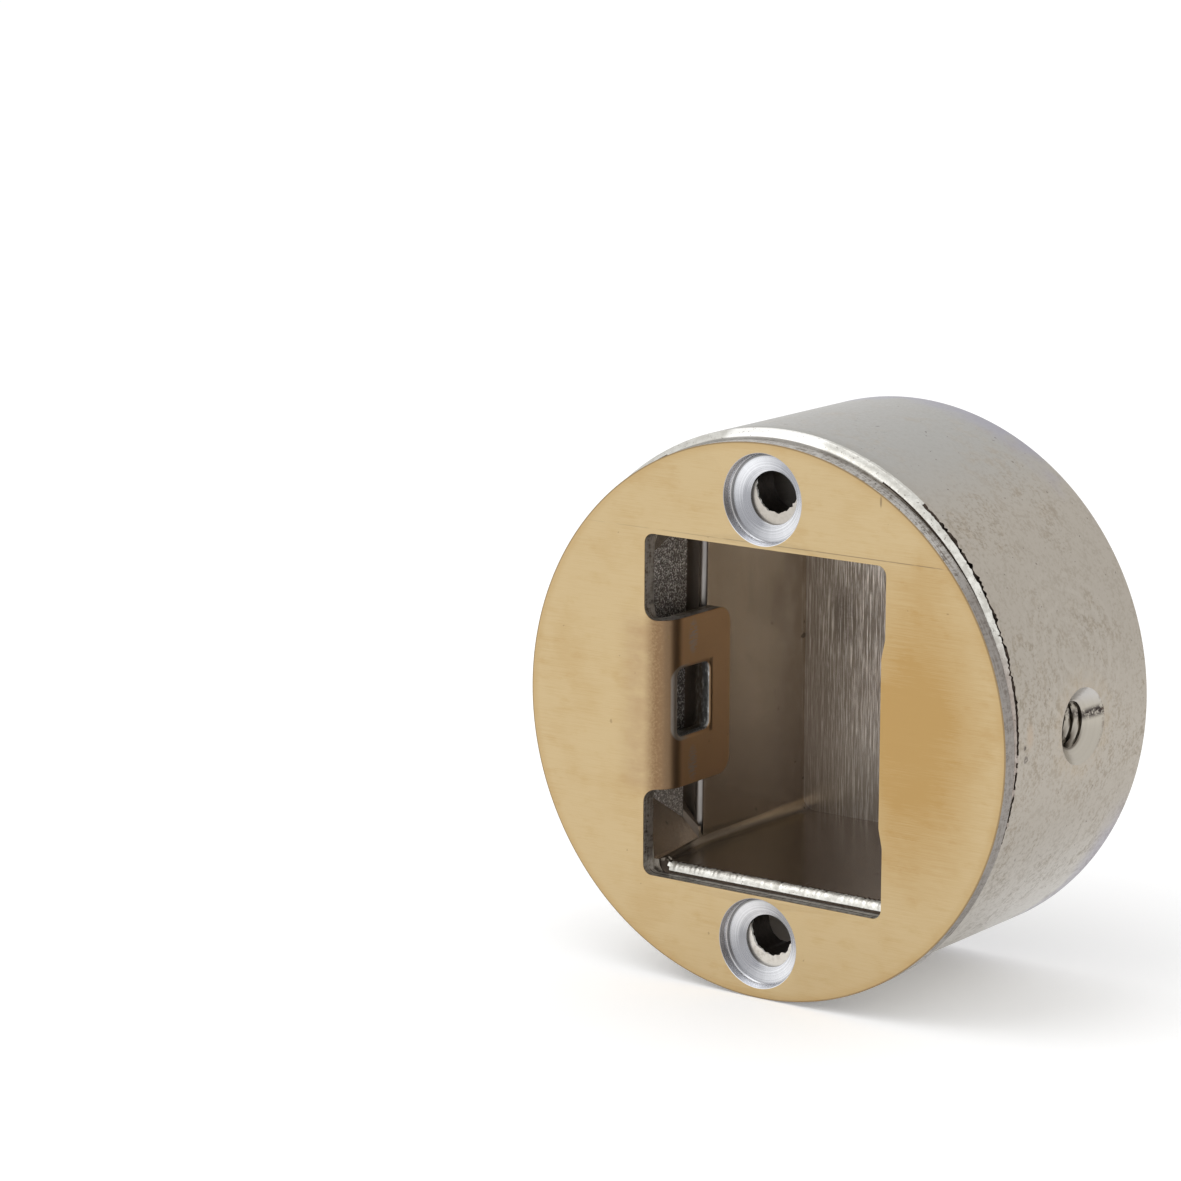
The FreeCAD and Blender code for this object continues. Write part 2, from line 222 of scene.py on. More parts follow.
def shifted(points, distance):
    """An anticlockwise outline moved outwards, square to its own line."""
    moved = []
    for number, point in enumerate(points):
        into = (point - points[number - 1]).normalized()
        out = (points[(number + 1) % len(points)] - point).normalized()
        along = (into + out).normalized()
        moved.append(point + Vector((along.y, -along.x)) * distance)
    return moved


def cut_edge(bm, points, profile, drift=0.0):
    """The walls of a cut edge through (shift, depth, finish) rows; its first and last ring.
    Below the lip of a seat the rows move sideways, by drift in all."""
    rings = []
    for shift, depth, _ in profile:
        aside = drift * min(max((depth - SEAT_LIP) / (SEAT_DEEP - SEAT_LIP), 0.0), 1.0)
        line = shifted(points, shift)
        rings.append([bm.verts.new((point.x + aside, depth, point.y)) for point in line])
    for (_, _, finish), front, back in zip(profile, rings, rings[1:]):
        for number in range(len(points)):
            sides = (front[number - 1], front[number], back[number], back[number - 1])
            bm.faces.new(sides).material_index = finish
    return rings[0], rings[-1]


def close_face(bm, rings, finish):
    """One flat face of the sheet, between all the rings that lie in it."""
    edges = [bm.edges.get((ring[n - 1], ring[n])) for ring in rings for n in range(len(ring))]
    filled = bmesh.ops.triangle_fill(bm, use_beauty=True, edges=edges)
    for face in filled["geom"]:
        if isinstance(face, bmesh.types.BMFace):
            face.material_index = finish


def bent(spot):
    """Where a point of the flat blank goes when the tongue is folded back."""
    past = spot.x - OPENING_LEFT
    if past <= 0 or abs(spot.z) > TONGUE_HALF + TONGUE_ROOT + 0.1 or spot.x > 0:
        return spot
    angle = min(past / BEND, math.pi / 2)
    inside = BEND - spot.y
    return Vector(
        (
            OPENING_LEFT + inside * math.sin(angle),
            BEND - inside * math.cos(angle) + max(past - BEND_LONG, 0.0),
            spot.z,
        )
    )


tip = OPENING_LEFT + BEND_LONG + TONGUE_REACH - BEND
lip = OPENING_RIGHT - LIP_STEP
lip_end = LIP_HALF + LIP_SLOPE
opening = rounded(
    [
        (OPENING_LEFT, OPENING_HALF, OPENING_CORNER),
        (OPENING_LEFT, TONGUE_HALF, TONGUE_ROOT),
        (tip, TONGUE_HALF, TONGUE_TIP),
        (tip, -TONGUE_HALF, TONGUE_TIP),
        (OPENING_LEFT, -TONGUE_HALF, TONGUE_ROOT),
        (OPENING_LEFT, -OPENING_HALF, OPENING_CORNER),
        (OPENING_RIGHT, -OPENING_HALF, OPENING_CORNER),
        (OPENING_RIGHT, -lip_end, LIP_STEP),
        (lip, -LIP_HALF, LIP_STEP),
        (lip, LIP_HALF, LIP_STEP),
        (OPENING_RIGHT, lip_end, LIP_STEP),
        (OPENING_RIGHT, OPENING_HALF, OPENING_CORNER),
    ]
)
slot_start = OPENING_LEFT + BEND_LONG + SLOT_NEAR - BEND
slot_end = slot_start + SLOT_FAR - SLOT_NEAR
slot = rounded(
    [
        (slot_start, -SLOT_HALF, SLOT_CORNER),
        (slot_end, -SLOT_HALF, SLOT_CORNER),
        (slot_end, SLOT_HALF, SLOT_CORNER),
        (slot_start, SLOT_HALF, SLOT_CORNER),
    ]
)
hole_edge = [(0.10, 0.0, BRASS), (0.05, 0.0, BRASS), (0.015, 0.012, BRASS), (0.0, 0.05, SHEARED)]
hole_edge += [(0.0, SHEET - 0.1, SHEARED), (0.07, SHEET, SHEARED)]
outer_edge = [(-shift, depth, finish) for shift, depth, finish in hole_edge]
slot_edge = [(0.42, 0.0, BRASS), (0.28, 0.0, BRASS), (0.16, 0.03, BRASS)]
slot_edge += [(0.06, 0.11, SHEARED), (0.0, 0.28, SHEARED), *hole_edge[4:]]
seat_edge = [(0.05, 0.0, TURNED), (0.01, 0.02, TURNED), (0.0, 0.07, TURNED), (-0.01, 0.6, TURNED)]
seat_edge += [(-0.05, 0.7, TURNED), (-0.12, SEAT_LIP, TURNED), (-0.15, SEAT_LIP + 0.03, TURNED)]
dish = SEAT_RADIUS - HOLE_RADIUS
for step in range(DISH_STEPS + 1):
    share = step / DISH_STEPS
    seat_edge.append((-0.18 - share * (dish - 0.24), SEAT_LIP + share * (SEAT_DEEP - SEAT_LIP), TURNED))
seat_edge += [(-dish + 0.02, SEAT_DEEP + 0.02, TURNED), (-dish, SEAT_DEEP + 0.08, TURNED)]
seat_edge.append((-dish, SHEET, SHEARED))

bm = bmesh.new()
faces = [cut_edge(bm, circle(PLATE_RADIUS, steps=RIM_STEPS), outer_edge)]
faces += [cut_edge(bm, opening, hole_edge), cut_edge(bm, slot, slot_edge)]
for level in (SCREW_OFF, -SCREW_OFF):
    faces.append(cut_edge(bm, circle(SEAT_RADIUS, z=level), seat_edge, HOLE_DRIFT))
close_face(bm, [front for front, _ in faces], BRASS)
close_face(bm, [back for _, back in faces], SHEARED)
for fold in range(FOLDS + 1):
    where = OPENING_LEFT + BEND_LONG * fold / FOLDS
    everything = bm.verts[:] + bm.edges[:] + bm.faces[:]
    bmesh.ops.bisect_plane(bm, geom=everything, plane_co=(where, 0, 0), plane_no=(1, 0, 0))
for vertex in bm.verts:
    vertex.co = bent(vertex.co)


def finish_mesh(bm, name, materials, sharp=38.0):
    """The mesh in metres, smooth but for its sharp edges, as a piece of the scene."""
    bmesh.ops.recalc_face_normals(bm, faces=bm.faces)
    bmesh.ops.scale(bm, vec=(MM, MM, MM), verts=bm.verts)
    mesh = bpy.data.meshes.new(name)
    bm.to_mesh(mesh)
    bm.free()
    for material in materials:
        mesh.materials.append(material)
    mesh.polygons.foreach_set("use_smooth", [True] * len(mesh.polygons))
    mesh.set_sharp_from_angle(angle=math.radians(sharp))
    piece = bpy.data.objects.new(name, mesh)
    bpy.context.scene.collection.objects.link(piece)
    even = piece.modifiers.new("even_shading", "WEIGHTED_NORMAL")
    even.keep_sharp = True
    return piece


def place_of(tree):
    """The place on the piece in millimetres, and its X, Y and Z."""
    spot = add(tree, "TexCoord").outputs["Object"]
    place = add(tree, "VectorMath", {0: spot, 1: (1 / MM,) * 3}, operation="MULTIPLY").outputs[0]
    return place, *add(tree, "SeparateXYZ", {0: place}).outputs[:]


def grain(tree, place, waves, detail=3.0, rough=0.6):
    """Noise between 0 and 1, with so many waves a millimetre, all ways or along X, Y and Z."""
    waves = waves if isinstance(waves, tuple) else (waves,) * 3
    spread = add(tree, "VectorMath", {0: place, 1: waves}, operation="MULTIPLY").outputs[0]
    sockets = {"Vector": spread, "Scale": 1.0, "Detail": detail, "Roughness": rough}
    return add(tree, "TexNoise", sockets).outputs[0]


def between(tree, value, low, high):
    """0 on the low side, 1 on the high side, and a smooth change between them."""
    sockets = {"Value": value, "From Min": low, "From Max": high}
    return add(tree, "MapRange", sockets, interpolation_type="SMOOTHSTEP").outputs[0]


def product(tree, value, *others):
    """All the values multiplied."""
    for other in others:
        value = reckon(tree, "MULTIPLY", value, other)
    return value


def total(tree, value, *others):
    """All the values added."""
    for other in others:
        value = reckon(tree, "ADD", value, other)
    return value


def scaled(tree, value, factor, plus):
    """The value times a factor, and something added."""
    return reckon(tree, "MULTIPLY_ADD", value, factor, plus)


def away(tree, value, middle):
    """How far a value is from the middle, on either side."""
    return reckon(tree, "ABSOLUTE", reckon(tree, "SUBTRACT", value, middle))


def beyond(tree, value, limit):
    """How far a value is beyond a limit, and 0 before it."""
    return reckon(tree, "MAXIMUM", reckon(tree, "SUBTRACT", value, limit), 0.0)


def mixed(tree, amount, first, second):
    """The first colour at 0, the second at 1."""
    return add(tree, "Mix", {0: amount, 6: first, 7: second}, data_type="RGBA").outputs[2]


def laid(tree, colour, tone, *masks):
    """The colour with a tone laid over it, as strongly as all its masks say together."""
    return mixed(tree, product(tree, *masks), colour, tone)


def distance_from(tree, place, spot, scale=(1.0, 1.0, 1.0)):
    """How far the place is from a spot, measured in units that differ along X, Y and Z."""
    apart = add(tree, "VectorMath", {0: place, 1: spot}, operation="SUBTRACT").outputs[0]
    apart = add(tree, "VectorMath", {0: apart, 1: scale}, operation="MULTIPLY").outputs[0]
    return add(tree, "VectorMath", {0: apart}, operation="LENGTH").outputs["Value"]


def metal(tree, colour, roughness, height, deep):
    """A metal surface; height is a bump of the given depth in millimetres."""
    bump = add(tree, "Bump", {"Strength": 1.0, "Distance": deep * MM, "Height": height})
    sockets = {"Base Color": colour, "Metallic": 1.0, "Roughness": roughness}
    shader = add(tree, "BsdfPrincipled", {**sockets, "Normal": bump.outputs[0]})
    add(tree, "OutputMaterial", {"Surface": shader.outputs[0]})


# The plate's front: satin brass brushed level, with painted shade darker to the right, smudged and worn
# at the tongue, and painted shade at the fold, the rim and the slot's far end.
LIGHT_BRASS = (0.565, 0.432, 0.243, 1)
DEEP_BRASS = (0.455, 0.292, 0.115, 1)
RED_BRASS = (0.60, 0.385, 0.21, 1)
SMUDGED_BRASS = (0.40, 0.265, 0.15, 1)
PEELED_BRASS = (0.24, 0.148, 0.078, 1)
SPECK_BROWN = (0.2, 0.13, 0.06, 1)
SCRATCH_BROWN = (0.16, 0.12, 0.08, 1)
PAINTED_SHADE = (0.12, 0.08, 0.05, 1)
RUBBED_STEEL = (0.46, 0.44, 0.42, 1)
SLOT_RIM_STEEL = (0.40, 0.37, 0.335, 1)
SCRATCH_LEVEL = 12.88
DIE_MARK_LEVEL = 4.65
brass, tree = new_material("satin_brass")
place, x, y, z = place_of(tree)
high = reckon(tree, "ABSOLUTE", z)
brushing = grain(tree, place, (0.3, 0.3, 15.0), 4.0)
fine_brushing = grain(tree, place, (1.5, 1.5, 48.0), 2.0)
clouds = grain(tree, place, (0.16, 0.16, 0.22), 3.0)
smudges = grain(tree, place, (0.45, 0.45, 0.9), 4.0)
# Painted shade: the brass is darker towards the right, mixed with clouds, smudges and brushing of the
# brass.
shade_and_tone = total(
    tree,
    between(tree, distance_from(tree, place, (12.9, 0, 1.0), (0.15, 0.1, 0.072)), 1.15, 0.15),
    product(tree, between(tree, clouds, 0.42, 0.72), 0.3),
    product(tree, between(tree, smudges, 0.5, 0.8), 0.35),
    product(tree, reckon(tree, "SUBTRACT", brushing, 0.5), 0.9),
    product(tree, reckon(tree, "SUBTRACT", fine_brushing, 0.5), 0.5),
)
colour = mixed(tree, shade_and_tone, LIGHT_BRASS, DEEP_BRASS)
from_centre = distance_from(tree, place, (0, 0, 0), (1.0, 0.0, 1.0))
near_rim = between(tree, from_centre, PLATE_RADIUS - 0.8, PLATE_RADIUS - 0.05)
colour = laid(tree, colour, DEEP_BRASS, near_rim, 0.35)
# Painted shade: a dark line along the rolled rim.
rim_line = between(tree, from_centre, PLATE_RADIUS - 0.14, PLATE_RADIUS - 0.06)
colour = laid(tree, colour, PAINTED_SHADE, rim_line, 0.5)
beside_tongue = product(
    tree, between(tree, x, -12.8, -10.3), between(tree, x, -8.2, -9.6), between(tree, high, 7.2, 5.4)
)
colour = laid(tree, colour, SMUDGED_BRASS, beside_tongue, between(tree, smudges, 0.1, 0.6), 0.55)
before_fold = product(
    tree, between(tree, x, -10.2, -8.9), between(tree, x, 3.0, 0.0), between(tree, high, 8.0, 6.0)
)
peel = grain(tree, place, 6.0, 2.0)
colour = laid(tree, colour, PEELED_BRASS, before_fold, scaled(tree, peel, 1.1, 0.42))
colour = laid(tree, colour, RED_BRASS, between(tree, y, 0.1, 1.3), 0.95)
# Painted shade across the tongue where it folds back.
colour = laid(tree, colour, PAINTED_SHADE, between(tree, y, 0.15, 0.75), between(tree, y, 2.25, 1.5), 0.72)

strong = {"Value": x, "From Min": -16.0, "From Max": 8.0, "To Min": 0.15}
strong = add(tree, "MapRange", strong).outputs[0]
scratch = product(
    tree,
    between(tree, away(tree, z, SCRATCH_LEVEL), 0.05, 0.015),
    between(tree, grain(tree, place, (0.5, 0.5, 2.0), 2.0), 0.34, 0.5),
    strong,
    between(tree, x, 15.9, 15.2),
)
nick_off = distance_from(tree, place, (9.75, 0, 16.95), (9.0, 1.0, 1.9))
scratch = reckon(tree, "MAXIMUM", scratch, between(tree, nick_off, 1.0, 0.4))
colour = laid(tree, colour, SCRATCH_BROWN, scratch, 0.6)
either_half = add(tree, "CombineXYZ", {0: x, 1: y, 2: high}).outputs[0]
mark_off = distance_from(tree, either_half, (-8.1, 3.42, DIE_MARK_LEVEL), (0.0, 1.6, 0.72))
teeth = between(tree, grain(tree, place, (1.0, 1.4, 7.5), 3.0), 0.38, 0.56)
die_mark = product(tree, between(tree, mark_off, 1.15, 0.45), teeth)
colour = laid(tree, colour, RUBBED_STEEL, die_mark, 0.6)

before_slot = beyond(tree, product(tree, y, -1.0), -2.0)
slot_off = add(tree, "CombineXYZ", {0: beyond(tree, high, SLOT_HALF - 0.7), 1: before_slot}).outputs[0]
slot_off = add(tree, "VectorMath", {0: slot_off}, operation="LENGTH").outputs["Value"]
slot_rim = product(
    tree, between(tree, slot_off, 1.08, 0.92), between(tree, y, 0.7, 0.95), between(tree, y, 3.4, 2.0)
)
colour = laid(tree, colour, SLOT_RIM_STEEL, slot_rim, 0.85)
# Painted shade on the slot's rolled far end.
slot_shade = product(
    tree, between(tree, y, 5.4, 5.6), between(tree, high, 2.8, 2.6), between(tree, y, 5.95, 5.8)
)
colour = laid(tree, colour, PAINTED_SHADE, slot_shade, 0.7)
specks = between(tree, grain(tree, place, 1.6, 1.0), 0.755, 0.78)
colour = laid(tree, colour, SPECK_BROWN, specks, 0.4)
height = total(tree, brushing, product(tree, fine_brushing, 0.5))
height = reckon(tree, "SUBTRACT", height, total(tree, scratch, die_mark))
wear = add(tree, "MapRange", {"Value": brushing, "To Min": 0.30, "To Max": 0.46}).outputs[0]
metal(tree, colour, wear, height, 0.0034)

# The plate's cut edges: grey sheared steel in layers, with flecks of grime, a dark line where the sheet
# parted and painted shadow along their back edge where the plate sits on the housing.
SHEARED_LIGHT = (0.52, 0.50, 0.475, 1)
SHEARED_DARK = (0.20, 0.172, 0.145, 1)
GRIME_AND_SHADE = (0.05, 0.042, 0.035, 1)
SLOT_SHADE = (0.20, 0.207, 0.21, 1)
SLOT_GLINT = (0.80, 0.82, 0.83, 1)
RIM_BROWN = (0.20, 0.175, 0.155, 1)
TONGUE_BROWN = (0.16, 0.115, 0.07, 1)
PARTING = 0.62
sheared, tree = new_material("sheared_steel")
place, x, y, z = place_of(tree)
tears = grain(tree, place, (3.2, 1.4, 3.2), 4.0, 0.7)
layers = grain(tree, place, (0.5, 7.0, 0.5), 3.0)
height = total(tree, tears, layers)
colour = mixed(tree, between(tree, height, 0.92, 1.24), SHEARED_LIGHT, SHEARED_DARK)
flecks = between(tree, grain(tree, place, (4.5, 3.0, 4.5), 2.0), 0.62, 0.72)
colour = laid(tree, colour, GRIME_AND_SHADE, flecks, 0.8)
in_slot = product(
    tree,
    between(tree, reckon(tree, "ABSOLUTE", z), 3.4, 2.9),
    between(tree, x, 0.0, -2.0),
    between(tree, x, -13.0, -12.0),
)
glints = between(tree, grain(tree, place, (6.0, 6.0, 1.6), 3.0), 0.50, 0.68)
colour = laid(tree, colour, mixed(tree, glints, SLOT_SHADE, SLOT_GLINT), in_slot, 0.75)
# The lower cut edge: a dark line where the sheet parted, and painted shadow at the back where the plate
# meets the housing.
sill = product(
    tree, between(tree, z, -12.1, -12.4), between(tree, z, -13.2, -12.9), between(tree, y, 0.05, 0.1)
)
parting_line_and_shade = between(tree, away(tree, y, PARTING), 0.12, 0.05)
parting_line_and_shade = reckon(tree, "MAXIMUM", parting_line_and_shade, between(tree, y, 0.98, 1.06))
colour = laid(tree, colour, GRIME_AND_SHADE, sill, parting_line_and_shade, 0.85)
colour = laid(tree, colour, RIM_BROWN, between(tree, x, 13.0, 17.0), between(tree, z, 15.0, 11.0), 0.7)
# Painted shadow along the back edge on the right, where the plate sits on the housing.
back_rim = product(tree, between(tree, x, 9.0, 11.5), between(tree, y, SHEET - 0.14, SHEET - 0.08))
colour = laid(tree, colour, GRIME_AND_SHADE, back_rim, 0.8)
tongue_top = product(tree, between(tree, x, -8.6, -8.9), between(tree, y, 2.6, 4.2))
colour = laid(tree, colour, TONGUE_BROWN, tongue_top, 0.7)
metal(tree, colour, scaled(tree, tears, 0.3, 0.3), height, 0.02)

# The screw seats: bare steel turned bright, with a light wall, a dark lip line of painted shadow and
# fine tool marks; a painted sheen, painted shade on the left and painted light low on the wall.
SEAT_SHADE = (0.33, 0.335, 0.36, 1)
SEAT_LIGHT = (0.84, 0.85, 0.88, 1)
SEAT_WALL = (0.44, 0.415, 0.40, 1)
SEAT_STRIPE = (0.72, 0.71, 0.72, 1)
SEAT_WALL_LIGHT = (0.86, 0.87, 0.90, 1)
LIP_SHADOW = (0.06, 0.055, 0.05, 1)
TOOL_MARKS = 13.0


def cutter_marks(tree, run, detail):
    """Noise between 0 and 1 that changes only along a run, as the marks of a cutter do."""
    sockets = {"W": run, "Scale": 1.0, "Detail": detail}
    return add(tree, "TexNoise", sockets, noise_dimensions="1D").outputs[0]


turned, tree = new_material("turned_seat")
place, x, y, z = place_of(tree)
upper = reckon(tree, "GREATER_THAN", z, 0.0)
up = reckon(tree, "SUBTRACT", z, scaled(tree, upper, 2 * SCREW_OFF, -SCREW_OFF))
spoke = add(tree, "CombineXYZ", {0: x, 2: up}).outputs[0]
radial = add(tree, "VectorMath", {0: spoke}, operation="LENGTH").outputs["Value"]
spoke = add(tree, "VectorMath", {0: spoke}, operation="NORMALIZE").outputs[0]
rays = grain(tree, spoke, (7.0, 1.0, 7.0), 4.0, 0.7)
# Painted sheen: brighter towards the upper left and lower right of each seat.
sheen = reckon(tree, "COSINE", scaled(tree, reckon(tree, "ARCTAN2", up, x), 2.0, -4.5))
tool_line = total(tree, product(tree, radial, TOOL_MARKS), product(tree, y, TOOL_MARKS))
turning = cutter_marks(tree, tool_line, 3.0)
tone = scaled(tree, sheen, 0.45, scaled(tree, rays, 0.25, 0.30))
tone = total(tree, tone, scaled(tree, turning, 0.9, -0.45))
# Painted shade darkens the left of the dish.
shaded_left = product(tree, between(tree, radial, 2.5, 2.0), between(tree, x, 0.2, -1.6))
tone = reckon(tree, "SUBTRACT", tone, product(tree, shaded_left, 0.45))
colour = mixed(tree, tone, SEAT_SHADE, SEAT_LIGHT)
stripe = between(tree, away(tree, y, PARTING), 0.11, 0.05)
wall_colour = mixed(tree, stripe, SEAT_WALL, SEAT_STRIPE)
# Painted light: the wall is lighter towards the bottom.
wall_colour = laid(tree, wall_colour, SEAT_WALL_LIGHT, between(tree, up, -1.2, -2.6))
colour = laid(tree, colour, wall_colour, between(tree, y, SEAT_LIP, SEAT_LIP - 0.1))
lip_line = between(tree, away(tree, y, SEAT_LIP), 0.035, 0.015)
lip_line = reckon(tree, "MAXIMUM", lip_line, between(tree, y, SEAT_DEEP + 0.03, SEAT_DEEP + 0.06))
fainter_below = scaled(tree, between(tree, up, -2.8, -1.2), 0.6, 0.15)
colour = laid(tree, colour, LIP_SHADOW, lip_line, fainter_below)
metal(tree, colour, 0.27, turning, 0.010)

plate = finish_mesh(bm, "brass_face_plate", (brass, sheared, turned))
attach(plate, "root")
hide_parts("face_plate")


# The housing: one nickel-plated zinc casting, a round wall with a front web and a closed pocket
# for the bolt. Its web and bores were torn open by the die; the side hole was drilled and tapped.
body_low, body_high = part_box("housing")
FRONT = body_low.y / MM
REAR = body_high.y / MM
BODY_RADIUS = (body_high.z - body_low.z) / 2 / MM
AXIS_LEVEL = (body_high.z + body_low.z) / 2 / MM
BODY_WALL = 2.0
WEB_BACK = FRONT + 3.4
BEVEL_WIDE = 0.40
GAP_DEEP = 0.06
BEVEL_LONG = 0.62
REAR_BEVEL = 0.3
TORN_MIDDLE = math.radians(32)
TORN_REACH = math.radians(24)
TORN_FADE = math.radians(9)
FAINT_FROM = math.radians(-62)
FAINT_TEAR = 0.40
TORN_ENOUGH = 0.28
GAP_TOP = 18.0
BEVEL_LEAST = 0.42
POCKET_LEFT = OPENING_LEFT + BEND - SHEET - 0.1
POCKET_RIGHT = OPENING_RIGHT + 0.15
POCKET_TOP = AXIS_LEVEL + OPENING_HALF
POCKET_BOTTOM = AXIS_LEVEL - OPENING_HALF
POCKET_BACK = REAR - 1.7
POCKET_WALL = 1.5
DRAFT_START = 7.3
WALL_DRAFT = 0.13
FLOOR_START = FRONT + 0.9
FLOOR_DRAFT = 0.042
TONGUE_WALL = 2.4
FLOOR_STEPS = 180
WALL_STEPS = 720
RELIEF_WALL = OPENING_LEFT - 0.3
RELIEF_END = BEND + 3.9
RELIEF_STEPS = 8
RELIEF_HIGH = 10.7
RELIEF_HIGH_GAIN = 1.9
RELIEF_LOW = -6.8
RELIEF_LOW_GAIN = 2.7
RELIEF_LEAN = 0.018
RELIEF_SKEW = 1.1
INSIDE = POCKET_LEFT + 0.5
SLIT_WIDE = 1.0
SLIT_DEEP = 1.7
SLIT_ROUND = 0.45
SLIT_STEPS = 8
SLIT_FOOT = -9.2
SLIT_FOOT_SLOPE = (2.0, 0.5)
BORE_RADIUS = 2.2
FLASH_RADIUS = 1.75
FLASH_THICK = 0.22
FLASH_SHIFT = 0.35
SIDE_HOLE_Y = FRONT + 9.15
SIDE_SEAT_RADIUS = 2.95
SIDE_SEAT_DEEP = 1.0
TOOL_OVER = 1.0
THREAD_RADIUS = 1.62
THREAD_HIGH = 0.24
THREAD_PITCH = 0.7
PAD_RADIUS = 4.2
PAD_FACE = BODY_RADIUS - BODY_WALL - 1.2
CAST, BARE, CRACK, POCKET, BRUSHED, ROUGH, DRILLED, HOLLOW, EDGE = range(9)


def ragged(spot, waves, size):
    """An uneven step, the same each time for the same place."""
    return noise.noise(Vector(spot) * waves) * size


def torn(x, z):
    """How badly the front edge tore: worst to the upper right, faint to the lower right."""
    turn = math.atan2(z - AXIS_LEVEL, x)
    worst = min(max((TORN_REACH - abs(turn - TORN_MIDDLE)) / TORN_FADE, 0.0), 1.0)
    faint = FAINT_TEAR if FAINT_FROM < turn < TORN_MIDDLE else 0.0
    if not worst + faint:
        return 0.0
    return min(max(max(worst, faint) + ragged((x, 5.0, z), 1.9, 0.45), 0.0), 1.0)


def solid(rings, finishes, paint=None):
    """A closed solid through rings of points, with the finish of each end and band."""
    bm = bmesh.new()
    made = [[bm.verts.new(point) for point in ring] for ring in rings]
    for finish, front, back in zip(finishes[1:-1], made, made[1:]):
        for number in range(len(front)):
            sides = (front[number - 1], front[number], back[number], back[number - 1])
            bm.faces.new(sides).material_index = finish
    bm.faces.new(made[0]).material_index = finishes[0]
    bm.faces.new(made[-1]).material_index = finishes[-1]
    for face in bm.faces:
        if paint:
            face.material_index = paint(face.calc_center_median(), face.material_index)
    bmesh.ops.triangulate(bm, faces=[face for face in bm.faces if len(face.verts) == 4])
    bmesh.ops.recalc_face_normals(bm, faces=bm.faces)
    mesh = bpy.data.meshes.new("tool")
    bm.to_mesh(mesh)
    bm.free()
    for skin in skins:
        mesh.materials.append(skin)
    tool = bpy.data.objects.new("tool", mesh)
    bpy.context.scene.collection.objects.link(tool)
    return tool


def round_ring(radius, depth):
    """A ring about the housing's own axis, so far back."""
    line = circle(radius, z=AXIS_LEVEL, steps=WALL_STEPS)
    return [Vector((spot.x, depth, spot.y)) for spot in line]


def pocket_ring(depth, drop=0.0, corner=0.9, wave=0.0):
    """A ring of the pocket; drop lowers its floor edge and wave makes that edge uneven."""
    left = POCKET_LEFT + WALL_DRAFT * max(depth - DRAFT_START, 0.0)
    bottom = POCKET_BOTTOM + FLOOR_DRAFT * max(depth - FLOOR_START, 0.0) - drop
    points = rounded(
        [
            (left, POCKET_TOP, 0.3),
            (left, bottom, corner),
            (POCKET_RIGHT, bottom, 0.5),
            (POCKET_RIGHT, POCKET_TOP, 0.3),
        ]
    )
    half_way = len(points) // 2
    start, end = points[half_way - 1], points[half_way]
    floor_line = [start.lerp(end, step / FLOOR_STEPS) for step in range(1, FLOOR_STEPS)]
    ring = []
    for point in points[:half_way] + floor_line + points[half_way:]:
        low = 1.0 if point.y < POCKET_BOTTOM + 0.3 else 0.0
        slow = ragged((point.x, 0, 3.0), 1.1, wave * 0.4)
        step = (slow + ragged((point.x, 0, 7.0), 5.0, wave)) * low
        ring.append(Vector((point.x, depth + step, point.y + step * 0.25)))
    return ring


# The round wall outside: dull nickel over a casting, speckled, stained and tinted by heat at the back;
# painted shade along the top and a painted floor reflection on the lower side.
CAST_GREY = (0.405, 0.365, 0.312, 1)
TOP_SHADE_GREY = (0.365, 0.355, 0.333, 1)
FLOOR_REFLECTION_GREY = (0.66, 0.63, 0.58, 1)
STAIN = (0.235, 0.20, 0.15, 1)
RUSTY = (0.42, 0.335, 0.24, 1)
HEAT_TINT = (0.30, 0.29, 0.40, 1)
HALO_BROWN = (0.44, 0.355, 0.25, 1)
SWIRL_LIGHT = (0.62, 0.58, 0.52, 1)
BLUSH = (0.44, 0.33, 0.23, 1)
PIT_BLACK = (0.10, 0.08, 0.065, 1)
NICK_BLACK = (0.06, 0.045, 0.04, 1)
MOUTH_LIGHT = (0.92, 0.91, 0.89, 1)
SWIRL_PLACE = (20.0, 10.0, 6.0)
cast, tree = new_material("cast_skin")
place, x, y, z = place_of(tree)
speckle = grain(tree, place, 3.4, 4.0, 0.7)
blotches = grain(tree, place, 0.8, 4.0, 0.65)
patches = grain(tree, place, 0.16, 2.0)
fine = grain(tree, place, 8.0, 2.0)
# Painted shade greys the top; a painted reflection of the pale floor lightens the lower side.
colour = mixed(tree, between(tree, z, 14.5, 20.0), CAST_GREY, TOP_SHADE_GREY)
colour = laid(tree, colour, FLOOR_REFLECTION_GREY, between(tree, z, -5.0, -16.0))
rusty = product(tree, between(tree, blotches, 0.45, 0.75), between(tree, patches, 0.35, 0.6))
colour = laid(tree, colour, RUSTY, rusty, 0.3)
stained = product(
    tree,
    between(tree, total(tree, speckle, product(tree, blotches, 0.6)), 0.74, 0.98),
    scaled(tree, between(tree, patches, 0.38, 0.62), 0.45, 0.3),
    scaled(tree, between(tree, z, 19.0, 14.5), 0.7, 0.2),
)
colour = laid(tree, colour, STAIN, stained)
pits = between(tree, grain(tree, place, 2.3, 1.0), 0.745, 0.775)
colour = laid(tree, colour, PIT_BLACK, pits, 0.6)
ends = reckon(tree, "MAXIMUM", between(tree, z, -5.0, -10.0), between(tree, z, 12.0, 16.0))
tinted = product(
    tree, between(tree, y, REAR - 3.4, REAR - 0.6), between(tree, patches, 0.36, 0.52), ends
)
colour = laid(tree, colour, HEAT_TINT, tinted, 0.5)
from_hole = distance_from(tree, place, (0, SIDE_HOLE_Y, AXIS_LEVEL), (0.0, 1.0, 1.0))
halo = product(
    tree,
    between(tree, from_hole, 4.6, 3.1),
    between(tree, x, 0.0, 6.0),
    between(tree, blotches, 0.3, 0.6),
)
colour = laid(tree, colour, HALO_BROWN, halo, 0.3)
swirl_off = distance_from(tree, place, SWIRL_PLACE)
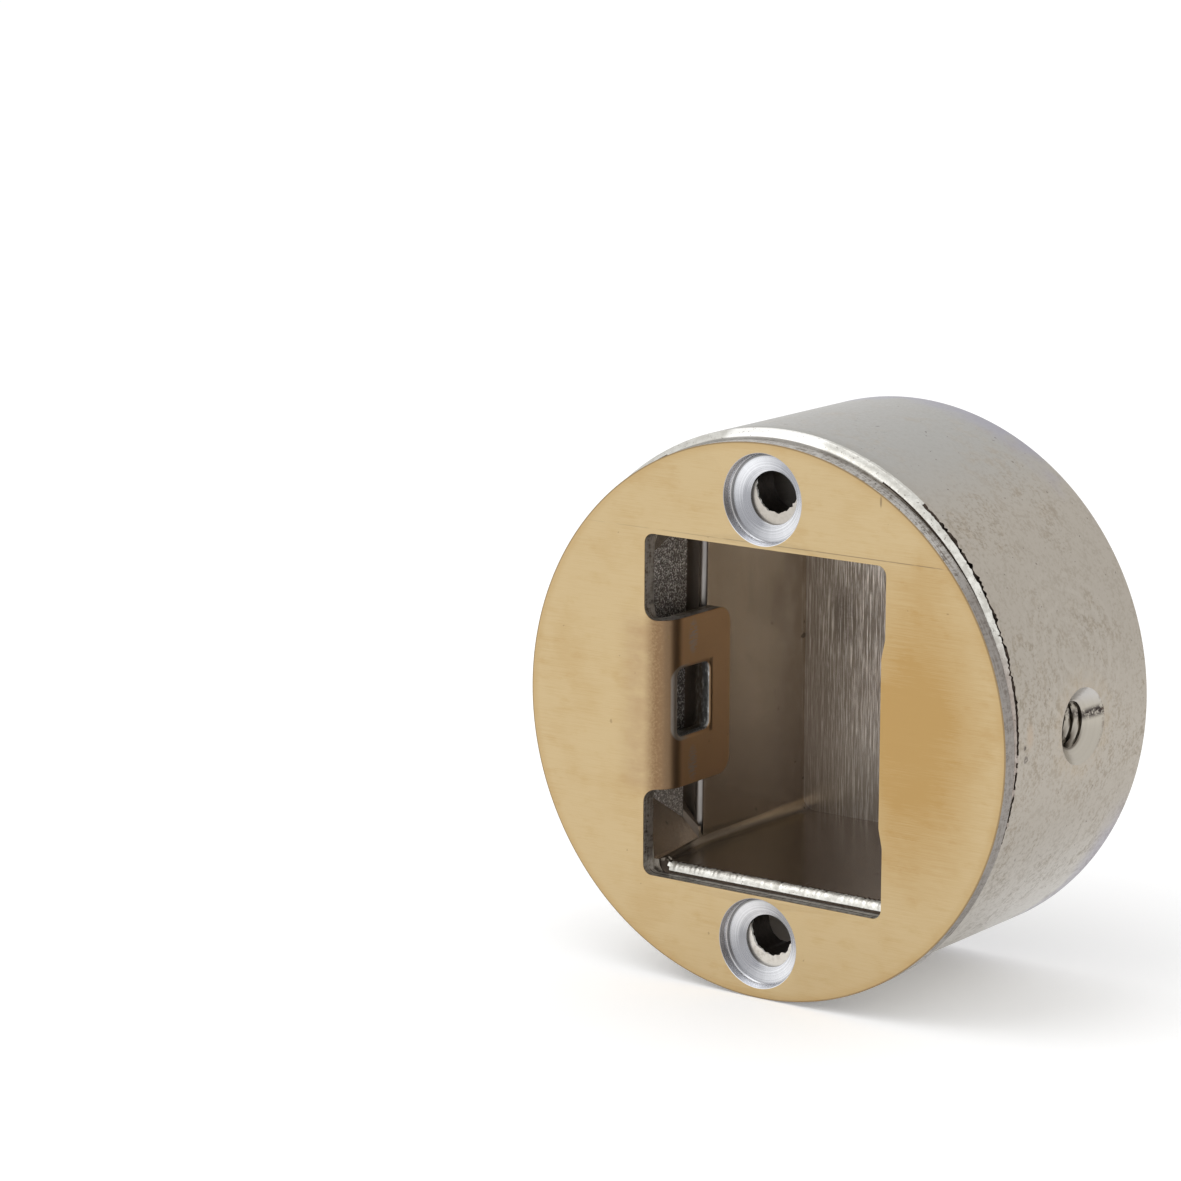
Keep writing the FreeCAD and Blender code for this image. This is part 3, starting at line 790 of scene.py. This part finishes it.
swirl = reckon(tree, "SINE", product(tree, swirl_off, 5.5))
swirl = product(tree, swirl, between(tree, swirl_off, 8.0, 4.5))
colour = laid(tree, colour, SWIRL_LIGHT, swirl, 0.10)

uneven = scaled(tree, speckle, 0.5, -0.25)
nick_off = total(tree, distance_from(tree, place, (BODY_RADIUS, 2.56, AXIS_LEVEL)), uneven)
second_off = total(tree, distance_from(tree, place, (BODY_RADIUS, 2.75, AXIS_LEVEL - 0.85)), uneven)
second = product(tree, between(tree, second_off, 0.3, 0.2), between(tree, second_off, 0.05, 0.15), 0.7)
nick = reckon(tree, "MAXIMUM", between(tree, nick_off, 0.2, 0.1), second)
blush_off = distance_from(tree, place, (BODY_RADIUS, 3.25, AXIS_LEVEL + 0.7), (1.0, 1.5, 0.75))
colour = laid(tree, colour, BLUSH, between(tree, blush_off, 1.0, 0.2), 0.45)
colour = laid(tree, colour, NICK_BLACK, nick, 0.8)
at_bore = product(
    tree,
    between(tree, reckon(tree, "ABSOLUTE", x), 4.5, 3.5),
    between(tree, reckon(tree, "ABSOLUTE", z), 12.9, 13.2),
)
mouth = product(tree, at_bore, between(tree, y, FRONT + 0.3, FRONT + 0.1))
colour = laid(tree, colour, MOUTH_LIGHT, mouth, 0.2)
height = total(tree, blotches, product(tree, fine, 0.2), product(tree, swirl, 0.08))
height = reckon(tree, "SUBTRACT", height, total(tree, pits, nick))
metal(tree, colour, scaled(tree, speckle, 0.2, 0.24), height, 0.012)

# Bright metal where the casting was torn and sheared: its front bevel, the floor's edge, the bores.
BARE_GREY = (0.58, 0.565, 0.52, 1)
BARE_LIGHT = (0.80, 0.79, 0.74, 1)
BARE_TOP = (0.46, 0.45, 0.42, 1)
BORE_LIGHT = (1.0, 0.99, 0.96, 1)
DULL_DARK = (0.16, 0.11, 0.09, 1)
DULL_LIGHT = (0.56, 0.49, 0.44, 1)
SPECK_GREY = (0.14, 0.12, 0.10, 1)
bare, tree = new_material("torn_bright_metal")
place, x, y, z = place_of(tree)
crumbs = grain(tree, place, 4.5, 4.0, 0.7)
smears = grain(tree, place, 1.3, 4.0, 0.7)
colour = mixed(tree, between(tree, smears, 0.38, 0.62), BARE_GREY, BARE_LIGHT)
colour = laid(tree, colour, BARE_TOP, between(tree, z, 12.0, 18.0), scaled(tree, smears, 1.1, -0.2))
at_bore = product(
    tree,
    between(tree, reckon(tree, "ABSOLUTE", x), 4.5, 3.5),
    between(tree, reckon(tree, "ABSOLUTE", z), 12.9, 13.2),
)
colour = laid(tree, colour, BORE_LIGHT, at_bore, 0.8)
dull = product(tree, between(tree, x, 15.0, 17.0), between(tree, z, 9.5, 4.5))
colour = laid(tree, colour, mixed(tree, smears, DULL_DARK, DULL_LIGHT), dull, 0.85)
specks = between(tree, grain(tree, place, 4.2, 3.0), 0.62, 0.70)
colour = laid(tree, colour, SPECK_GREY, specks, 0.7)
metal(tree, colour, scaled(tree, crumbs, 0.3, 0.25), crumbs, 0.022)

# Painted shadow for the dark bottoms of cracks, gaps and bores; the slit's wall is painted a little
# lighter.
CRACK_BLACK = (0.02, 0.015, 0.012, 1)
CRACK_BROWN = (0.09, 0.07, 0.055, 1)
SLIT_BROWN = (0.32, 0.27, 0.225, 1)
crack, tree = new_material("torn_shadow")
place, x, y, z = place_of(tree)
crumbs = grain(tree, place, 3.0, 3.0)
colour = mixed(tree, crumbs, CRACK_BLACK, CRACK_BROWN)
above_foot = scaled(tree, between(tree, z, -8.5, -7.2), 0.55, 0.45)
in_slit = product(tree, between(tree, x, -8.7, -8.9), between(tree, y, 4.6, 4.9), above_foot)
colour = laid(tree, colour, SLIT_BROWN, in_slit)
metal(tree, colour, 0.5, crumbs, 0.03)

# The pocket's smooth walls and floor and the ramps beside the tongue: nickel, warm and glossy, with a
# painted glint along the floor's left corner, painted shade on the upper ramp and in the corner under
# the lower ramp, and painted light low on the lower ramp.
POCKET_WARM = (0.74, 0.63, 0.505, 1)
POCKET_DIM = (0.59, 0.53, 0.44, 1)
POCKET_BLOT = (0.45, 0.37, 0.285, 1)
POCKET_LOW = (0.65, 0.565, 0.47, 1)
FLOOR_DARK = (0.44, 0.395, 0.335, 1)
FLOOR_GREY = (0.50, 0.46, 0.435, 1)
CORNER_LIGHT = (0.95, 0.79, 0.57, 1)
CORNER_DARK = (0.09, 0.075, 0.06, 1)
RAMP_BROWN = (0.36, 0.315, 0.27, 1)
RAMP_LIT_SPECKS = (0.98, 0.86, 0.73, 1)
RAMP_SHADE = (0.17, 0.145, 0.12, 1)
FRECKLE = (0.07, 0.055, 0.045, 1)
pocket_skin, tree = new_material("pocket_skin")
place, x, y, z = place_of(tree)
bands = grain(tree, place, (0.9, 0.9, 0.06), 3.0)
blots = grain(tree, place, 0.5, 4.0)
colour = mixed(tree, bands, POCKET_WARM, POCKET_DIM)
colour = laid(tree, colour, POCKET_BLOT, between(tree, blots, 0.5, 0.75), 0.25)
colour = laid(tree, colour, POCKET_LOW, between(tree, z, 2.0, -7.0))
colour = laid(tree, colour, FLOOR_DARK, between(tree, z, POCKET_BOTTOM + 1.4, POCKET_BOTTOM + 1.0))
wall_lean = product(tree, beyond(tree, y, DRAFT_START), WALL_DRAFT)
floor_rise = product(tree, reckon(tree, "SUBTRACT", y, FRONT), FLOOR_DRAFT)
undrafted = add(
    tree,
    "CombineXYZ",
    {0: reckon(tree, "SUBTRACT", x, wall_lean), 2: reckon(tree, "SUBTRACT", z, floor_rise)},
).outputs[0]
corner_off = distance_from(
    tree, undrafted, (POCKET_LEFT + 0.22, 0, POCKET_BOTTOM + 0.5), (1.0, 0.0, 1.0)
)
corner_off = reckon(tree, "SUBTRACT", corner_off, scaled(tree, y, 0.028, -0.18))
corner_glint = product(tree, between(tree, corner_off, 0.2, -0.1), between(tree, y, 5.0, 11.0))
colour = laid(tree, colour, CORNER_LIGHT, corner_glint, 0.8)
on_ramp = between(tree, x, POCKET_LEFT - 0.01, POCKET_LEFT - 0.1)
# The lower ramp is speckled, with painted light towards its bottom; the upper ramp is painted dark as
# painted shade.
lit_low_specks = product(tree, grain(tree, place, 7.0, 3.0), between(tree, z, -7.0, -11.0))
ramp_skin = mixed(tree, lit_low_specks, RAMP_BROWN, RAMP_LIT_SPECKS)
ramp_skin = laid(tree, ramp_skin, RAMP_SHADE, between(tree, z, -2.0, 2.0))
colour = laid(tree, colour, ramp_skin, on_ramp)
far_side = scaled(tree, reckon(tree, "SUBTRACT", POCKET_BACK, y), -0.664, total(tree, x, 8.1))
near_floor = between(tree, z, POCKET_BOTTOM + 1.3, POCKET_BOTTOM + 1.0)
colour = laid(tree, colour, FLOOR_GREY, between(tree, far_side, -0.4, 0.4), near_floor, 0.85)
# Painted shade in the hollow of the floor corner under the lower ramp.
corner_side = scaled(tree, y, 0.7, x)
hollow_corner = product(
    tree,
    between(tree, corner_side, -5.3, -6.0),
    between(tree, y, 6.3, 5.4),
    between(tree, z, POCKET_BOTTOM + 1.1, POCKET_BOTTOM + 0.6),
    reckon(tree, "SUBTRACT", 1.0, on_ramp),
)
colour = laid(tree, colour, CORNER_DARK, hollow_corner, 0.8)
freckles = between(tree, grain(tree, place, 1.2, 1.0), 0.735, 0.77)
colour = laid(tree, colour, FRECKLE, freckles, 0.6)
height = reckon(tree, "SUBTRACT", blots, product(tree, freckles, 0.4))
metal(tree, colour, scaled(tree, blots, 0.12, 0.17), height, 0.010)

# The pocket's back wall: streaked upright by the die, darker to the left, with a chatter mark.
BACK_LEFT = (0.165, 0.14, 0.12, 1)
BACK_RIGHT = (0.265, 0.24, 0.215, 1)
STROKE_LIGHT = (0.95, 0.92, 0.90, 1)
CHATTER_DARK = (0.13, 0.11, 0.10, 1)
CHATTER_PLACE = (-4.6, POCKET_BACK, 4.2)
brushed, tree = new_material("pocket_back")
place, x, y, z = place_of(tree)
strokes = grain(tree, place, (11.0, 1.0, 0.16), 4.0, 0.8)
hairs = grain(tree, place, (24.0, 1.0, 0.5), 2.0)
chatter_off = distance_from(tree, place, CHATTER_PLACE, (0.6, 0.0, 0.30))
chatter = product(tree, grain(tree, place, (2.6, 1.0, 5.0), 3.0), between(tree, chatter_off, 1.0, 0.2))
across_wall = between(tree, x, -8.4, -2.0)
marked = product(
    tree,
    between(tree, strokes, 0.47, 0.58),
    total(tree, across_wall, 0.3),
    scaled(tree, between(tree, z, -9.0, 6.0), 0.6, 0.4),
    between(tree, hairs, 0.40, 0.56),
)
colour = mixed(tree, across_wall, BACK_LEFT, BACK_RIGHT)
colour = laid(tree, colour, STROKE_LIGHT, marked, 0.9)
colour = laid(tree, colour, CHATTER_DARK, chatter, 0.8)
height = total(tree, strokes, product(tree, hairs, 0.4))
metal(tree, colour, 0.36, reckon(tree, "SUBTRACT", height, chatter), 0.014)

# The relief's deep wall: a coarse sandy casting skin whose sparkle is painted as bright specks, with
# painted shade behind the tongue and painted light below it.
SAND_DARK = (0.20, 0.18, 0.165, 1)
SAND_SPARK = (1.0, 0.97, 0.94, 1)
SAND_SHADE = (0.1, 0.08, 0.07, 1)
SAND_LOW = (0.75, 0.69, 0.64, 1)
rough_skin, tree = new_material("relief_wall")
place, x, y, z = place_of(tree)
grains = grain(tree, place, 5.5, 4.0, 0.75)
sparks = between(tree, grain(tree, place, 8.5, 2.0), 0.46, 0.64)
colour = mixed(tree, sparks, SAND_DARK, SAND_SPARK)
colour = laid(tree, colour, SAND_SHADE, between(tree, z, 10.0, 5.0), between(tree, z, -6.5, -5.0), 0.35)
# Painted light on the wall below the tongue.
colour = laid(tree, colour, SAND_LOW, between(tree, z, -5.0, -6.5), 0.3)
metal(tree, colour, 0.40, grains, 0.11)

# The side hole: drilled and tapped through the plating, smeared dark across its cone.
DRILLED_LIGHT = (0.50, 0.465, 0.405, 1)
DRILLED_DARK = (0.405, 0.37, 0.315, 1)
CONE_LIGHT = (0.62, 0.61, 0.62, 1)
SMEAR_BLACK = (0.05, 0.04, 0.038, 1)
RIM_DARK = (0.17, 0.13, 0.10, 1)
THREAD_DARK = (0.09, 0.07, 0.055, 1)
drilled, tree = new_material("drilled_metal")
place, x, y, z = place_of(tree)
from_axis = distance_from(tree, place, (0, SIDE_HOLE_Y, AXIS_LEVEL), (0.0, 1.0, 1.0))
turning = cutter_marks(tree, product(tree, from_axis, 4.0), 4.0)
smears = grain(tree, place, (2.0, 3.5, 3.0), 4.0, 0.8)
smear_slant = scaled(tree, reckon(tree, "SUBTRACT", y, 12.9), -0.32, reckon(tree, "SUBTRACT", z, 1.35))
smear_off = add(tree, "CombineXYZ", {0: reckon(tree, "SUBTRACT", y, 13.0), 1: smear_slant}).outputs[0]
smear_off = distance_from(tree, smear_off, (0, 0, 0), (0.55, 2.1, 1.0))
colour = mixed(tree, turning, DRILLED_LIGHT, DRILLED_DARK)
colour = laid(tree, colour, CONE_LIGHT, between(tree, z, 1.6, 2.9), 0.5)
colour = laid(
    tree, colour, SMEAR_BLACK, between(tree, smear_off, 1.35, 0.3), between(tree, smears, 0.34, 0.52)
)
hole_rim = product(tree, between(tree, from_axis, 2.72, 2.9), between(tree, smears, 0.40, 0.6))
colour = laid(tree, colour, RIM_DARK, hole_rim, 0.6)
# Painted shade low inside the tapped hole.
inside = product(tree, between(tree, from_axis, 1.86, 1.7), between(tree, z, 0.5, -0.9))
colour = laid(tree, colour, THREAD_DARK, inside, 0.85)
metal(tree, colour, 0.28, turning, 0.012)

# The hidden insides: sandy casting painted dark as painted shade, with painted light low down where the
# lower bore looks in.
HOLLOW_DARK = (0.10, 0.084, 0.068, 1)
HOLLOW_LIGHT = (0.21, 0.182, 0.152, 1)
HOLLOW_LOW = (0.50, 0.44, 0.38, 1)
hollow, tree = new_material("dark_cast_inside")
place, x, y, z = place_of(tree)
sand = grain(tree, place, 1.2, 5.0, 0.65)
colour = mixed(tree, sand, HOLLOW_DARK, HOLLOW_LIGHT)
lit_low_side = product(tree, between(tree, z, -8.0, -12.0), between(tree, y, 12.0, 8.0))
colour = laid(tree, colour, HOLLOW_LOW, lit_low_side, 0.9)
metal(tree, colour, 0.45, sand, 0.05)

# The slit's rounded far edge: plating rubbed bright by the bolt, with a painted shade line where it
# meets the pocket.
EDGE_DARK = (0.13, 0.118, 0.11, 1)
EDGE_LIGHT = (0.42, 0.40, 0.385, 1)
EDGE_LINE = (0.10, 0.075, 0.06, 1)
edge_skin, tree = new_material("rubbed_edge")
place, x, y, z = place_of(tree)
rubbed = grain(tree, place, (2.0, 4.5, 0.35), 3.0)
colour = mixed(tree, rubbed, EDGE_DARK, EDGE_LIGHT)
colour = laid(tree, colour, EDGE_LINE, between(tree, x, POCKET_LEFT - 0.16, POCKET_LEFT - 0.04))
metal(tree, colour, 0.33, rubbed, 0.01)

skins = (cast, bare, crack, pocket_skin, brushed, rough_skin, drilled, hollow, edge_skin)


def hole_tool(rows, place, finishes, steps=72):
    """A tool through (radius, run) rows, where place puts angle, radius and run in the part."""
    turns = [math.tau * step / steps for step in range(steps)]
    rings = [[place(angle, radius, run) for angle in turns] for radius, run in rows]
    return solid(rings, finishes)


def carved(body, joined, cut):
    """The mesh of a body with some solids joined to it and others cut away."""
    for operation, tools in (("UNION", joined), ("DIFFERENCE", cut)):
        for tool in tools:
            step = body.modifiers.new("step", "BOOLEAN")
            step.operation = operation
            step.solver = "EXACT"
            step.object = tool
    shaped = body.evaluated_get(bpy.context.evaluated_depsgraph_get())
    mesh = bpy.data.meshes.new_from_object(shaped)
    for used in [body, *joined, *cut]:
        bpy.data.meshes.remove(used.data)
    return mesh


wall_rows = [
    (BODY_RADIUS - BEVEL_WIDE - 0.12, FRONT, 0.0),
    (BODY_RADIUS - BEVEL_WIDE - 0.02, FRONT + GAP_DEEP, 0.02),
    (BODY_RADIUS - BEVEL_WIDE * 0.5, FRONT + (BEVEL_LONG + GAP_DEEP) / 2, 0.05),
    (BODY_RADIUS - 0.08, FRONT + BEVEL_LONG, 0.14),
    (BODY_RADIUS - 0.04, FRONT + BEVEL_LONG + 0.04, 0.17),
    (BODY_RADIUS - 0.03, FRONT + BEVEL_LONG + 0.22, 0.30),
    (BODY_RADIUS, FRONT + BEVEL_LONG + 0.30, 0.30),
    (BODY_RADIUS, FRONT + 2.0, 0.0),
    (BODY_RADIUS, REAR - REAR_BEVEL, 0.0),
    (BODY_RADIUS - REAR_BEVEL, REAR, 0.0),
    (BODY_RADIUS - BODY_WALL + 0.2, REAR, 0.0),
    (BODY_RADIUS - BODY_WALL, REAR - 0.2, 0.0),
    (BODY_RADIUS - BODY_WALL, WEB_BACK + 0.6, 0.0),
    (BODY_RADIUS - BODY_WALL - 0.18, WEB_BACK + 0.18, 0.0),
    (BODY_RADIUS - BODY_WALL - 0.6, WEB_BACK, 0.0),
]


def bevel_share(spot):
    """How long the bevel is here: full at the top, half as long at the right and below."""
    up = (spot.z - AXIS_LEVEL) / BODY_RADIUS
    return BEVEL_LEAST + (1 - BEVEL_LEAST) * min(max(up if spot.x > 0 else 1.0, 0.0), 1.0)


BEVEL_ROWS = range(2, 7)
GROOVE_ROWS = (4, 5)
GROOVE_DEEP = 0.15
LEAST_ROUGH = 0.15
wall_rings = []
for number, (radius, depth, wave) in enumerate(wall_rows):
    ring = round_ring(radius, depth)
    for spot in ring:
        tear = torn(spot.x, spot.z)
        seed = (spot.x, number // 5 * 9.0, spot.z)
        rough_step = ragged(seed, 1.6, wave * 0.8) + ragged(seed, 6.5, wave)
        if number in BEVEL_ROWS:
            spot.y = FRONT + GAP_DEEP + (spot.y - FRONT - GAP_DEEP) * bevel_share(spot)
        spot.y += rough_step * (LEAST_ROUGH + (1 - LEAST_ROUGH) * tear)
        if number in GROOVE_ROWS:
            outwards = Vector((spot.x, 0, spot.z - AXIS_LEVEL)).normalized()
            spot -= outwards * (GROOVE_DEEP + ragged(seed, 2.2, 0.14)) * tear
    wall_rings.append(ring)


def wall_finish(centre, finish):
    """The groove is dark only where the edge tore, and the gap before it only below the very top."""
    in_groove = centre.y > FRONT + 0.2
    bright = torn(centre.x, centre.z) < TORN_ENOUGH if in_groove else centre.z > GAP_TOP
    return BARE if finish == CRACK and bright else finish


body = solid(
    wall_rings,
    [CAST, CRACK, BARE, BARE, CRACK, CRACK, CRACK] + [CAST] * 5 + [HOLLOW] * 4,
    wall_finish,
)


def box_ring(depth):
    """A ring round the outside of the pocket's walls."""
    left, right = POCKET_LEFT - TONGUE_WALL, POCKET_RIGHT + POCKET_WALL
    top, bottom = POCKET_TOP + POCKET_WALL, POCKET_BOTTOM - POCKET_WALL
    corners = [(left, top, 0.8), (left, bottom, 0.8), (right, bottom, 0.8), (right, top, 0.8)]
    return [Vector((spot.x, depth, spot.y)) for spot in rounded(corners)]


pocket_box = solid([box_ring(FRONT + 1.2), box_ring(REAR)], [HOLLOW, HOLLOW, HOLLOW])


def across(angle, radius, run):
    """A point about the axis of the side hole, which runs in from the right."""
    aside, up = radius * math.cos(angle), radius * math.sin(angle)
    return Vector((run, SIDE_HOLE_Y + aside, AXIS_LEVEL + up))


pad_rows = [(PAD_RADIUS, PAD_FACE), (PAD_RADIUS, BODY_RADIUS - 0.6)]
pad = hole_tool(pad_rows, across, [HOLLOW, HOLLOW, HOLLOW])


def pocket_finish(centre, finish):
    """Bare metal and cracks belong to the floor's front edge alone."""
    if finish in (BARE, CRACK) and centre.z > POCKET_BOTTOM + 0.02:
        return POCKET
    if finish == BARE and centre.x < POCKET_LEFT + 0.6 + ragged(centre, 5.0, 0.2):
        return CRACK
    return finish


pocket = solid(
    [
        pocket_ring(FRONT - TOOL_OVER, drop=0.85),
        pocket_ring(FRONT + 0.06, drop=0.85),
        pocket_ring(FRONT + 0.24, drop=0.6, wave=0.02),
        pocket_ring(FRONT + 0.30, drop=0.38, wave=0.06),
        pocket_ring(FRONT + 0.52, drop=0.13, wave=0.12),
        pocket_ring(FRONT + 0.74, drop=0.03, wave=0.22),
        pocket_ring(FRONT + 0.80, drop=0.09, wave=0.22),
        pocket_ring(FLOOR_START, wave=0.22),
        pocket_ring(FRONT + 3.0),
        pocket_ring(DRAFT_START, corner=0.6),
        pocket_ring(POCKET_BACK, corner=1.0),
    ],
    [CRACK] * 3 + [BARE] * 3 + [CRACK, CRACK] + [POCKET] * 3 + [BRUSHED],
    pocket_finish,
)


def leaning(depth, z):
    """The relief's end and the slit stand nearer the front the lower they are."""
    return depth - RELIEF_LEAN * (POCKET_TOP - z)


def relief_ring(depth, share):
    """A ring of the relief, share of the way back: its deep wall and the ramps at both its ends."""
    high, high_out = RELIEF_HIGH + RELIEF_HIGH_GAIN * share, POCKET_TOP - 0.1 - 0.1 * share
    low, low_out = RELIEF_LOW - RELIEF_LOW_GAIN * share, POCKET_BOTTOM + 0.1 + 0.6 * share
    foot = RELIEF_WALL + 0.3 + (POCKET_LEFT - RELIEF_WALL - 0.3) * share
    skew = RELIEF_SKEW * share
    ends = [(INSIDE, high_out), (POCKET_LEFT, high_out), (RELIEF_WALL, high)]
    ends += [(RELIEF_WALL, low), (foot, low_out), (INSIDE, low_out)]
    return [Vector((x, leaning(depth, z) + skew * (x - RELIEF_WALL), z)) for x, z in ends]


def relief_finish(centre, finish):
    """Only the deep wall is rough."""
    return ROUGH if centre.x < RELIEF_WALL + 0.02 else finish


relief_rings = [relief_ring(FRONT - TOOL_OVER, 0.0)]
for step in range(RELIEF_STEPS + 1):
    share = step / RELIEF_STEPS
    relief_rings.append(relief_ring(FRONT + (RELIEF_END - FRONT) * share, share))
relief = solid(relief_rings, [POCKET] * len(relief_rings) + [CRACK], relief_finish)


def slit_ring(top):
    """The slit's outline, at its level top or at its foot, which slopes towards the pocket."""
    near, far = RELIEF_END - 0.05, RELIEF_END + SLIT_WIDE
    bottom = POCKET_LEFT - SLIT_DEEP
    line = [(INSIDE, near), (bottom, near), (bottom, far)]
    for step in range(SLIT_STEPS + 1):
        angle = math.pi / 2 * step / SLIT_STEPS
        x = POCKET_LEFT - SLIT_ROUND * math.cos(angle) + 0.001
        line.append((x, far + SLIT_ROUND * math.sin(angle)))
    line.append((INSIDE, far + SLIT_ROUND))
    levels = [POCKET_TOP - 0.4] * len(line)
    if not top:
        along, back = SLIT_FOOT_SLOPE
        drops = [along * (x - RELIEF_WALL) + back * (y - RELIEF_END) for x, y in line]
        levels = [max(SLIT_FOOT - drop, POCKET_BOTTOM + 0.7) for drop in drops]
    return [Vector((x, leaning(y, level), level)) for (x, y), level in zip(line, levels)]


def slit_finish(centre, finish):
    """Only the rounded edge beyond the slit is rubbed bright."""
    return finish if centre.y > leaning(RELIEF_END + SLIT_WIDE + 0.01, centre.z) else CRACK


slit = solid([slit_ring(False), slit_ring(True)], [CRACK, EDGE, CRACK], slit_finish)

bores = []
for level in (SCREW_OFF, -SCREW_OFF):
    def through(angle, radius, run, level=level):
        """A point about a screw bore, whose mouth is ragged and stands off to the right."""
        near = run < FRONT + FLASH_THICK + 0.2
        x = radius * math.cos(angle) + (FLASH_SHIFT if near else 0.0)
        z = level + AXIS_LEVEL + radius * math.sin(angle)
        worn = 1 + (ragged((x, 0, z), 1.3, 0.08) + ragged((x, 0, z), 4.5, 0.07)) * near
        return Vector((x * worn, run, level + AXIS_LEVEL + radius * math.sin(angle) * worn))

    rows = [
        (FLASH_RADIUS + 0.02, FRONT - TOOL_OVER),
        (FLASH_RADIUS, FRONT + 0.03),
        (FLASH_RADIUS + 0.05, FRONT + FLASH_THICK),
        (BORE_RADIUS, FRONT + FLASH_THICK + 0.25),
        (BORE_RADIUS, WEB_BACK + TOOL_OVER),
    ]
    bores.append(hole_tool(rows, through, [BARE, BARE, BARE, CRACK, CRACK, CRACK], steps=120))


def threaded(angle, radius, run):
    """As across, with a thread cut into the stretch below the cone."""
    turn = (run / THREAD_PITCH + angle / math.tau) % 1.0
    below = min(max((BODY_RADIUS - SIDE_SEAT_DEEP - run) / 0.2, 0.0), 1.0)
    return across(angle, radius + THREAD_HIGH * (1 - abs(2 * turn - 1)) * below, run)


rows = [(SIDE_SEAT_RADIUS + 1.2, BODY_RADIUS + TOOL_OVER), (SIDE_SEAT_RADIUS, BODY_RADIUS)]
rows.append((THREAD_RADIUS + 0.15, BODY_RADIUS - SIDE_SEAT_DEEP))
depth = BODY_RADIUS - SIDE_SEAT_DEEP - 0.05
while depth > PAD_FACE - 0.8:
    rows.append((THREAD_RADIUS, depth))
    depth -= THREAD_PITCH / 8
side_hole = hole_tool(rows, threaded, [DRILLED] * (len(rows) + 1))

mesh = carved(body, [pocket_box, pad], [pocket, relief, slit, *bores, side_hole])
bm = bmesh.new()
bm.from_mesh(mesh)
bmesh.ops.dissolve_degenerate(bm, dist=0.0005, edges=bm.edges)
housing = finish_mesh(bm, "cast_housing", skins, sharp=34.0)
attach(housing, "root")
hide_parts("housing")
